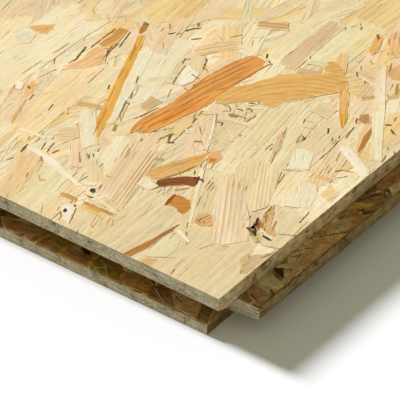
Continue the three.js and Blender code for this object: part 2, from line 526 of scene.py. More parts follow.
def strand_material(name, fray_length, stain_tint, mottle=0, mouth_shade_tint=None):
    """The wood of strands; a mottle and painted shade at a groove's mouth are for the inner layers."""
    wood = StrandSheet(name)
    ring, vein = growth_rings(wood)
    covers, border = thin_parts(wood, fray_length)
    dark, depth = dark_lines_and_rim_shade(wood, border)

    warm = wood.tinted(wood.blotch.fade(0.42, 0.68, 0, 0.55), wood.tone, WARM_TINT)
    ringed = wood.tinted(ring, warm, RING_TINT)
    veined = wood.mix(vein * 0.75, ringed, wood.multiplied(warm, VEIN_TINT))
    laid_over = wood.mix(covers, wood.beneath, veined)
    x, y, z = wood.x, wood.y, wood.z
    stain = wood.noise(wood.vector(x * 75, y * 40, z), 2.0, 0.55).fade(0.50, 0.72, 0, 0.42)
    colour = wood.tinted(stain, laid_over, stain_tint)

    cloud = wood.noise(wood.place, 2.0, 0.5, 45.0)
    speckle = wood.noise(wood.place, 2.0, 0.65, 560.0)
    grain = ((wood.fibre - 0.5) * 0.36 + (wood.streak - 0.5) * 0.36) * wood.contrast.fade(
        *CLEAN_WOOD, 0.55, 1)
    level = 1 + grain + (cloud - 0.5) * 0.18 + (speckle - 0.5) * 0.20
    if mottle:
        bruised = wood.noise(wood.place, 3.0, 0.65, 240.0).fade(0.5, 0.66, 0, 0.5)
        colour = wood.tinted(bruised, colour, BRUISE_TINT)
        uneven = wood.noise(wood.vector(x + 3, y, z), 3.0, 0.7, 330.0) - 0.5
        level = level * (1 + uneven * mottle)
    # Last the splits, the scratches and the painted rim shade darken the colour.
    colour = wood.mix(dark, wood.scaled(colour, level), wood.multiplied(colour, LINE_AND_SHADE_TINT))
    # At a groove's mouth, on the bevel, the colour is darkened as painted shade.
    if mouth_shade_tint:
        mouth_shade = (x - panel_low.x).least(y - panel_low.y).fade(*MOUTH, 1, 0)
        colour = wood.tinted(mouth_shade, colour, mouth_shade_tint)
    return wood.surface(colour, 0.62 + wood.fibre * 0.2 + ring * 0.08,
                        wood.fibre * 0.6 + ring * 0.35 + wood.streak * 0.6 - depth, STRAND_BUMP, 0.65)


strand_wood = strand_material("strand_wood", 7.0 * MM, (1.0, 0.89, 0.66))
# The inner wood's last tint is painted shade at a groove's mouth.
inner_wood = strand_material("inner_wood", 4.0 * MM, (0.97, 0.86, 0.72), mottle=1.5,
                             mouth_shade_tint=(0.84, 0.79, 0.66))

# %% [markdown]
# ## The core
# The core is the board between its two strand faces, with the milled edges. Its section could be drawn
# again, but the CAD model has it already, so it starts as a copy of the CAD solid, and the doubled
# corners of its loose triangles are merged. Its two faces then move in by the depth of the strands,
# which bring the board back to its full thickness.

# %% Core
SKIN = 0.36 * MM
TOUCH = 0.01 * MM

core_mesh = bpy.data.meshes.new("core")
core_shape = bmesh.new()
core_shape.from_mesh(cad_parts["osb_panel"].data)
bmesh.ops.remove_doubles(core_shape, verts=core_shape.verts, dist=TOUCH / 10)
on_top = [vert for vert in core_shape.verts if vert.co.z > panel_high.z - TOUCH]
on_underside = [vert for vert in core_shape.verts if vert.co.z < panel_low.z + TOUCH]
bmesh.ops.translate(core_shape, vec=(0, 0, -SKIN), verts=on_top)
bmesh.ops.translate(core_shape, vec=(0, 0, SKIN), verts=on_underside)
core_shape.to_mesh(core_mesh)
core_shape.free()
core_mesh.materials.append(milled_wood)
core = placed("core", core_mesh)
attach(core, "root")
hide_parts("osb_panel")
print("core has", len(core_mesh.polygons), "faces")

# %% [markdown]
# ## Chips
# A flaker cuts a strand's sides and leaves its ends torn. A handful of outlines is enough, because each
# strand stretches one to its own length and width. An outline could be a list of corners, but a grid
# that is dissolved into one face gives even corners for nothing: they are moved by small random
# amounts, and solidify gives the chip its thickness. Each step of the lesson has a seed of its own, so
# that a change in one leaves the draws of the others as they are.

# %% Chip outlines
SEEDS = {"chips": 1207, "top": 31, "underside": 57, "opened": 83}
VARIANTS = 6
SQUARE, RAGGED, POINTED, LEAF, SLANTED, SLIVER, CRUMB, SPLINTER = range(8)
CHIP_KINDS = {
    SQUARE: dict(steps_along=3, steps_across=2, ragged=0.015, wavy=0.04),
    RAGGED: dict(steps_along=3, steps_across=4, ragged=0.10, wavy=0.10),
    POINTED: dict(steps_along=3, steps_across=2, ragged=0.05, wavy=0.06, taper_end=0.85),
    LEAF: dict(steps_along=4, steps_across=1, ragged=0.03, wavy=0.05, taper_start=0.85,
               taper_end=0.85),
    SLANTED: dict(steps_along=3, steps_across=2, ragged=0.04, wavy=0.08, slanted=0.12),
    CRUMB: dict(steps_along=2, steps_across=2, ragged=0.35, wavy=0.3, taper_start=0.4,
                taper_end=0.6),
    SPLINTER: dict(steps_along=1, steps_across=1, ragged=0.2, wavy=0, taper_start=0.5,
                   taper_end=0.9, slanted=0.2),
    SLIVER: dict(steps_along=2, steps_across=1, ragged=0.05, wavy=0.15, taper_start=0.5,
                 taper_end=0.7),
}
draw = np.random.default_rng(SEEDS["chips"])


def unit_arrays(shape):
    """A closed chip with its top at height 0, as places, faces and which faces are its top.

    The last two say how near each place is to an outline of the chip's own, and give that outline."""
    bmesh.ops.recalc_face_normals(shape, faces=shape.faces)
    highest = max(vert.co.z for vert in shape.verts)
    bmesh.ops.translate(shape, vec=(0, 0, -highest), verts=shape.verts)
    shape.verts.ensure_lookup_table()
    shape.normal_update()
    places = np.array([vert.co[:] for vert in shape.verts])
    faces = [[vert.index for vert in face.verts] for face in shape.faces]
    tops = [face.normal.z > 0.5 for face in shape.faces]
    shape.free()
    return places, faces, tops, NO_OUTLINE, None


def chip(mirrored, steps_along, steps_across, ragged, wavy, taper_start=0.0, taper_end=0.0,
         slanted=0.0):
    """A chip one unit long, wide and thick."""
    shape = bmesh.new()
    bmesh.ops.create_grid(shape, x_segments=steps_along, y_segments=steps_across, size=0.5)
    bmesh.ops.dissolve_faces(shape, faces=shape.faces[:])
    for vert in shape.verts:
        at_end = abs(vert.co.x) > 0.49
        taper = taper_end if vert.co.x > 0 else taper_start
        moved = vert.co.copy()
        moved.y *= 1 - taper * (abs(vert.co.x) * 2) ** 3
        if at_end:
            moved.x -= np.sign(vert.co.x) * draw.uniform(0, ragged)
            moved.x += slanted * vert.co.y
        else:
            moved.x += draw.uniform(-0.06, 0.06)
            moved.y -= np.sign(vert.co.y) * draw.uniform(0, wavy)
        vert.co = moved
    if mirrored:
        bmesh.ops.scale(shape, vec=(1, -1, 1), verts=shape.verts)
    bmesh.ops.solidify(shape, geom=shape.faces[:], thickness=1.0)
    return unit_arrays(shape)


chips = {kind: [chip(mirrored=variant % 2 == 1, **form) for variant in range(VARIANTS)]
         for kind, form in CHIP_KINDS.items()}
print("chip outlines:", sum(len(made) for made in chips.values()))

# %% [markdown]
# ## A table of strands
# A strand is one row in a table: where its middle lies, how it is turned and bent, its size, height,
# outline, tone and rings. Thousands of objects would be slow to make and to change, while a table is
# drawn in one go for each layer and becomes a mesh only at the end. Heights are measured from the face,
# so they are negative.

# %% Tones
TONES = {
    "milk": (247, 236, 214), "white": (247, 237, 210), "pale": (244, 229, 189),
    "ivory": (237, 229, 194), "pearl": (238, 226, 192), "green_cream": (236, 222, 176),
    "lichen": (231, 218, 173), "shell": (240, 217, 179), "blush": (247, 219, 170),
    "cream": (237, 215, 168), "rose": (238, 211, 170), "oat": (229, 209, 165),
    "khaki": (226, 206, 160), "straw": (237, 208, 148), "sand": (233, 202, 152),
    "peach": (238, 199, 142), "dusty": (227, 200, 158), "moss": (208, 196, 134),
    "salmon": (238, 192, 133), "mauve": (219, 188, 146), "taupe": (208, 184, 138),
    "drab": (214, 184, 132), "apricot": (233, 181, 114), "tan": (220, 178, 120),
    "amber": (231, 181, 104), "brass": (222, 176, 98), "honey": (233, 177, 76),
    "gold": (232, 176, 78), "grey": (190, 170, 130), "mustard": (219, 165, 60),
    "gold_brown": (208, 163, 80), "ochre": (212, 160, 88), "orange": (228, 160, 80),
    "tangerine": (238, 160, 76), "olive": (174, 148, 66), "clay": (192, 146, 96),
    "rust": (200, 132, 54), "umber": (162, 124, 72), "brown": (184, 124, 60),
    "dark": (118, 88, 46), "red_brown": (150, 80, 22), "russet": (138, 74, 18),
    "maroon": (100, 52, 20), "bark": (66, 48, 22),
}
TONE_BALANCE = (1.0, 0.985, 0.955)
tones = {name: np.array(linear(*tone)) * TONE_BALANCE for name, tone in TONES.items()}
print("tones:", len(tones))

# %% Random strands
NUMBERS = ("x", "y", "angle", "length", "width", "bow", "thick", "high", "tilt_along", "tilt_across",
           "worn", "gap", "slant", "arch", "contrast")
FIELDS = [(name, float) for name in NUMBERS] + [("kind", int), ("variant", int), ("tone", float, 3)]
DARK_BLUE = 0.16


def gathered(table, box, clusters, spread):
    """The same strands, moved into clusters, as a rough patch holds many splinters."""
    centres = draw.uniform(*box, (clusters, 2))
    picked = centres[draw.integers(0, clusters, len(table))]
    table["x"] = picked[:, 0] + draw.normal(0, spread * 0.6, len(table))
    table["y"] = picked[:, 1] + draw.normal(0, spread, len(table))
    return table


def scattered(box, count, length, width, turned_by, high, palette, kinds, rows=None, clusters=None):
    """A table of strands over a box, mostly along the panel.

    Heights are in millimetres. Rows share the box out evenly, and clusters do the opposite."""
    (low_x, low_y), (high_x, high_y) = box
    table = np.zeros(count, dtype=FIELDS)
    if rows:
        cell = np.arange(count)
        share_x = (cell % rows + draw.uniform(0, 1, count)) / rows
        share_y = (cell // rows + draw.uniform(0, 1, count)) / np.ceil(count / rows)
        table["x"] = low_x + share_x * (high_x - low_x)
        table["y"] = low_y + share_y * (high_y - low_y)
    else:
        table["x"] = draw.uniform(low_x, high_x, count)
        table["y"] = draw.uniform(low_y, high_y, count)
    table["angle"] = math.pi / 2 + np.radians(draw.normal(0, turned_by, count))
    table["length"] = draw.uniform(*length, count)
    table["width"] = width[0] * (width[1] / width[0]) ** draw.uniform(0, 1, count)
    table["bow"] = draw.normal(0, 0.012, count) * table["length"]
    table["thick"] = draw.uniform(0.30, 0.42, count) * MM
    table["high"] = draw.uniform(high[0] * MM, high[1] * MM, count)
    table["tilt_along"] = draw.uniform(-1, 1, count) * 0.035 * MM
    table["tilt_across"] = draw.uniform(-1, 1, count) * 0.02 * MM
    table["kind"] = draw.choice(kinds, count)
    table["variant"] = draw.integers(0, VARIANTS, count)

    shares = np.array(list(palette.values())) / sum(palette.values())
    picked = draw.choice(len(palette), count, p=shares)
    table["tone"] = np.array([tones[name] for name in palette])[picked]
    table["tone"] *= draw.uniform(0.93, 1.04, (count, 1))
    table["worn"] = draw.choice([0.0, 0.25, 0.6, 1.0], count, p=[0.4, 0.3, 0.2, 0.1])
    table["gap"] = draw.uniform(1.4, 4.2, count) * MM
    table["slant"] = draw.normal(0, 0.03, count)
    table["arch"] = draw.normal(0, 0.6, count) * (draw.uniform(0, 1, count) < 0.5)
    table["contrast"] = draw.uniform(0.1, 0.6, count)
    dark = table["tone"][:, 2] < DARK_BLUE
    table["contrast"][dark] = draw.uniform(0.6, 1.0, dark.sum())
    return gathered(table, box, *clusters) if clusters else table


def pressed(box, layers):
    """The random strands of one face, layer by layer."""
    table = np.concatenate([scattered(box, **layer) for layer in layers.values()])
    print("random strands:", len(table), "in", len(layers), "layers")
    return table


# %% [markdown]
# ## The strands of the top face
# A board is pressed from a mat of strands, so large strands lie under small ones and everywhere one
# crosses another. Strewing one size over the face would look like confetti. So the face is built up as
# the mat is: broad pale strands first, shared out evenly to cover the core, then smaller and smaller
# ones, then splinters in clusters, and last a few strong tones that catch the eye.

# %% Top layers
PALE = dict(cream=26, pale=20, green_cream=16, straw=10, peach=5, rose=9, oat=6, white=2)
MIXED = dict(cream=22, pale=18, green_cream=12, straw=13, peach=8, rose=9, oat=5, tan=4, amber=4,
             orange=2, gold=1, mauve=3, brown=1, white=3)
FINE = dict(cream=8, pale=14, straw=12, peach=8, tan=16, amber=8, brown=9, umber=9, olive=3, bark=2)
ACCENT = dict(amber=8, orange=6, gold=5, tan=6, brown=5, red_brown=2, white=4, straw=4)
LONG = [SQUARE, RAGGED, POINTED, SLANTED, SLANTED, LEAF]

TOP_LAYERS = {
    "broad": dict(count=2200, length=(0.070, 0.115), width=(0.016, 0.030), turned_by=11, rows=26,
                  high=(-0.31, -0.27), palette=PALE, kinds=[SQUARE, SLANTED, RAGGED]),
    "long": dict(count=2600, length=(0.050, 0.110), width=(0.008, 0.026), turned_by=16,
                 high=(-0.26, -0.19), palette=MIXED, kinds=LONG),
    "narrow": dict(count=1900, length=(0.030, 0.090), width=(0.005, 0.016), turned_by=24,
                   high=(-0.19, -0.14), palette=MIXED, kinds=LONG),
    "short": dict(count=2600, length=(0.010, 0.045), width=(0.0015, 0.006), turned_by=35,
                  high=(-0.15, -0.11), palette=MIXED, kinds=[RAGGED, SLANTED, SLIVER, LEAF]),
    "splinters": dict(count=6000, length=(0.003, 0.014), width=(0.0004, 0.0014), turned_by=45,
                      high=(-0.11, -0.08), palette=FINE, kinds=[SPLINTER, SPLINTER, SLIVER],
                      clusters=(500, 0.011)),
    "strays": dict(count=1500, length=(0.004, 0.018), width=(0.0004, 0.0012), turned_by=35,
                   high=(-0.11, -0.08), palette=FINE, kinds=[SPLINTER, SLIVER]),
    "accents": dict(count=700, length=(0.030, 0.090), width=(0.003, 0.013), turned_by=22,
                    high=(-0.12, -0.09), palette=ACCENT, kinds=LONG),
}
top_box = ((panel_low.x, panel_low.y), (panel_high.x - TONGUE_REACH, panel_high.y - TONGUE_REACH))
print("layers of the top face:", ", ".join(TOP_LAYERS))

# %% [markdown]
# ## The strands in the corner
# Near the corner the strands that catch the eye are laid one by one, because a draw never gives the
# same board twice and these give this board its face. Places are in millimetres from the corner: across
# the panel from the long tongue's shoulder, and along it from the short groove's lip. Broad strands and
# narrow ones are lines with a width. A chip is an outline, given as x, y, x, y, with the direction of
# its grain. A mark, such as a gap, a scrap of bark or the shadow under a loose side, is a thin dark
# sliver along a bent line.

# %% Broad strands laid one by one
BROAD = [
    # start x, y, end x, y, width, tone, kind, ring gap, contrast, bow, edge wear and rim shade
    (-158, 122, -163, 56, 24, "pale", SQUARE, 3.5, 0.04, 0, 0.3),
    (-176, 100, -172, 70, 9, "pale", SLANTED, 3.0, 0.15, 0, 0.3),
    (-133, 100, -133, 36, 17, "blush", SLANTED, 3.0, 0.12, 0, 0.2),
    (-148, 82, -137, 38, 9, "rose", RAGGED, 2.4, 0.2, 0, 0.1),
    (-121, 100, -121, 74, 9, "green_cream", RAGGED, 3.0, 0.2, 0, 0.3),
    (-120, 34, -109, -2, 13, "sand", SQUARE, 2.6, 0.2, 0, 0.2),
    (-104, 32, -101, -4, 14, "green_cream", SQUARE, 3.2, 0.15, 0, 0.3),
    (-92, 26, -91, -4, 10, "cream", SQUARE, 3.0, 0.15, 0, 0.2),
    (-98, 62, -88, 26, 12, "pale", SLANTED, 2.6, 0.2, 0, 0.3),
    (-97, 44, -86, 30, 8, "cream", RAGGED, 2.2, 0.3, 0, 0.3),
    (-117, 60, -96, 52, 9, "rose", RAGGED, 2.4, 0.2, 0, 0.3),
    (-110, 50, -98, 34, 8, "rose", RAGGED, 2.2, 0.3, 0, 0.4),
    (-88, 68, -76, 24, 13, "rose", SLANTED, 1.8, 0.25, 0, 0.2),
    (-80, 64, -70, 19, 7, "rose", SLANTED, 1.7, 0.85, 0, 0.5),
    (-74, 20, -69, -4, 12, "cream", SQUARE, 2.6, 0.2, 0, 0.3),
    (-118, 130, -107, 82, 15, "pearl", SLANTED, 3.2, 0.04, 0, 0.3),
    (-124, 140, -118, 112, 9, "rose", SLANTED, 2.6, 0.2, 0, 0.4),
    (-106, 148, -92, 128, 10, "straw", SLANTED, 2.6, 0.2, 0, 0.4),
    (-95, 156, -88, 134, 9, "pale", RAGGED, 2.8, 0.15, 0, 0.4),
    (-80, 166, -79, 138, 9, "green_cream", SQUARE, 3.0, 0.1, 0, 0.3),
    (-60, 184, -60, 146, 17, "green_cream", SQUARE, 3.4, 0.1, 0, 0.3),
    (-76, 142, -72, 118, 10, "pale", RAGGED, 3.0, 0.15, 0, 0.3),
    (-46, 180, -38, 156, 9, "straw", SLANTED, 2.6, 0.2, 0, 0.4),
    (-36, 168, -24, 146, 8, "tan", SLANTED, 2.4, 0.25, 0, 0.4),
    (-32, 162, -28, 128, 12, "rose", RAGGED, 2.6, 0.2, 0, 0.4),
    (-14, 142, -8, 112, 11, "straw", SLANTED, 2.6, 0.25, 0, 0.4),
    (-4, 134, -4, 100, 8, "oat", SLANTED, 2.6, 0.3, 0, 0.5),
    (-57, 128, -50, 66, 12, "green_cream", SQUARE, 2.6, 0.3, 0, 0.3),
    (-46, 130, -38, 76, 13, "green_cream", SLANTED, 2.0, 0.3, 0, 0.2),
    (-31, 126, -28.5, 80, 13, "oat", SLANTED, 2.6, 0.2, 0, 0.2),
    (-20, 110, -14, 84, 10, "cream", RAGGED, 1.8, 0.45, 0, 0.5),
    (-6, 102, -5, 60, 11, "pale", SLANTED, 3.0, 0.15, 0, 0.4),
    (-24, 90, -20, 62, 9, "pale", SLANTED, 2.2, 0.3, 0, 0.4),
    (-9, 66, -6, 40, 13, "oat", SQUARE, 3.2, 0.15, 0, 0.4),
    (-76, 104, -68, 84, 10, "rose", RAGGED, 2.8, 0.2, 0, 0.3),
    (-65, 98, -64, 78, 11, "khaki", SQUARE, 2.8, 0.15, 0, 0.4),
    (-76, 92, -62, 62, 10, "rose", SLANTED, 2.6, 0.2, 0, 0.4),
    (-14, 42, -12, -14, 32, "oat", SQUARE, 3.9, 0.22, 0, 0),
    (-57, 41, -58, -6, 21, "oat", SQUARE, 3.2, 0.28, 0, 0),
    (-37, 36, -38, -8, 22, "oat", SQUARE, 3.4, 0.15, 0, 0),
    (-50, 60, -38, 32, 13, "khaki", RAGGED, 2.2, 0.3, 0, 0.1),
]
print("broad strands laid by hand:", len(BROAD))

# %% Narrow strands laid one by one
NARROW = [
    # start x, y, end x, y, width, tone, kind, ring gap, contrast, bow, edge wear and rim shade
    (-71.5, 176, -71, 138, 9, "mauve", SQUARE, 3.0, 0.12, 0, 0.3),
    (-107, 124, -95, 140, 7, "sand", SLANTED, 2.4, 0.4, 0, 0),
    (-98, 154, -85, 161, 6, "tan", RAGGED, 2.0, 0.5, 0, 0.6),
    (-125, 68.5, -114, 72, 3.2, "tan", RAGGED, 2.0, 0.4, 0, 0.6),
    (-84, 15.5, -69, 14.5, 4, "straw", RAGGED, 2.0, 0.4, 0, 0.4),
    (-46, 125, -36, 125, 8, "oat", RAGGED, 2.0, 0.12, 0, 0.2),
    (-46, 155.5, -35, 156, 8, "sand", RAGGED, 1.6, 0.35, 0, 0.3),
    (-35, 151, -34, 140, 7, "sand", RAGGED, 1.6, 0.35, 0, 0.3),
    (-41, 164, -22, 137, 5, "pale", SQUARE, 3.0, 0.1, 0, 0.4),
    (-23, 139, -4, 111, 5, "ivory", SQUARE, 3.0, 0.1, 0, 0.2),
    (-119, 68, -102, 48, 7, "pearl", SLANTED, 3.0, 0.03, 0, 0.2),
    (-73, 95.5, -58, 99.5, 3, "rose", SLANTED, 3.0, 0.3, 0, 0.4),
    (-66, 140, -57, 144, 3.4, "taupe", RAGGED, 2.0, 0.4, 0, 0.2),
    (-66, 147.5, -57, 149.5, 4, "lichen", RAGGED, 2.0, 0.2, 0, 0.4),
    (-19, 88.4, -8, 91, 2.2, "peach", RAGGED, 1.4, 0.3, 0, 0.3),
    (-12, 51, -7, 46.5, 2.6, "tan", RAGGED, 1.4, 0.4, 0, 0.3),
    (-58.5, 46.5, -54, 51.5, 1.6, "tan", SLIVER, 1.4, 0.3, 0, 0.3),
    (-42.4, 141, -27.5, 119.4, 4.0, "mustard", POINTED, 1.6, 0.5, 0, 0.6),
    (-43, 141.4, -33, 127, 2.8, "apricot", POINTED, 1.6, 0.4, 0, 0),
    (-134, 128, -131.6, 120, 3, "brown", POINTED, 1.6, 0.5, 0, 0.6),
    (-53.2, 179.6, -47.8, 165.6, 4.6, "amber", LEAF, 2.0, 0.4, 0, 0.2),
    (-49.6, 185, -39, 169, 4.4, "salmon", SLANTED, 2.0, 0.4, 0, 0.4),
    (-44.8, 18, -42.6, 30, 1.6, "umber", SLIVER, 1.4, 0.5, 0, 0.3),
    (-94, 16.6, -85.5, 17, 2.6, "ochre", RAGGED, 1.4, 0.5, 0, 0.6),
    (-80, 16, -73, 16.4, 2.4, "amber", RAGGED, 1.4, 0.4, 0, 0.2),
    (-83.4, 17.4, -66.5, 18.1, 1.9, "ochre", RAGGED, 1.4, 0.6, 0, 0.9),
    (-34, 140, -29.4, 145.6, 2.2, "ochre", RAGGED, 1.4, 0.4, 0, 0.3),
    (-71, 99.2, -66, 101.6, 1.9, "olive", LEAF, 1.4, 0.3, 0, 0.2),
    (-28, 158, -24, 151, 1.6, "olive", SLIVER, 1.4, 0.3, 0, 0.2),
    # thin pale ones, on top
    (-20.5, 111.5, -0.5, 101, 5, "milk", SQUARE, 3.0, 0.05, 0, 0.1),
    (-75.5, 98, -62, 73.5, 1.6, "white", SLIVER, 3.0, 0.1, -0.6, 0.3),
    (-62.5, 74.5, -38, 29.5, 2.2, "pale", SLIVER, 3.0, 0.1, 0.6, 0.1),
    (-126, 35.2, -89, 25.6, 4.4, "white", SLIVER, 3.0, 0.1, -1.2, 0.3),
    (-92, 26, -63, 19.3, 1.5, "pale", SLIVER, 3.0, 0.1, 0, 0.3),
    (-133, 41.2, -120, 42, 2.0, "white", RAGGED, 3.0, 0.1, 0, 0.4),
    (-41.2, 26.6, -32, 22.4, 1.9, "white", RAGGED, 3.0, 0.1, 0, 0.4),
    (-12.4, 46, -6.6, 45, 1.0, "white", SLIVER, 3.0, 0.1, 0, 0.4),
    (-44, 152.2, -33, 151, 1.2, "white", SLIVER, 3.0, 0.1, 0, 0.4),
]
print("narrow strands laid by hand:", len(NARROW))

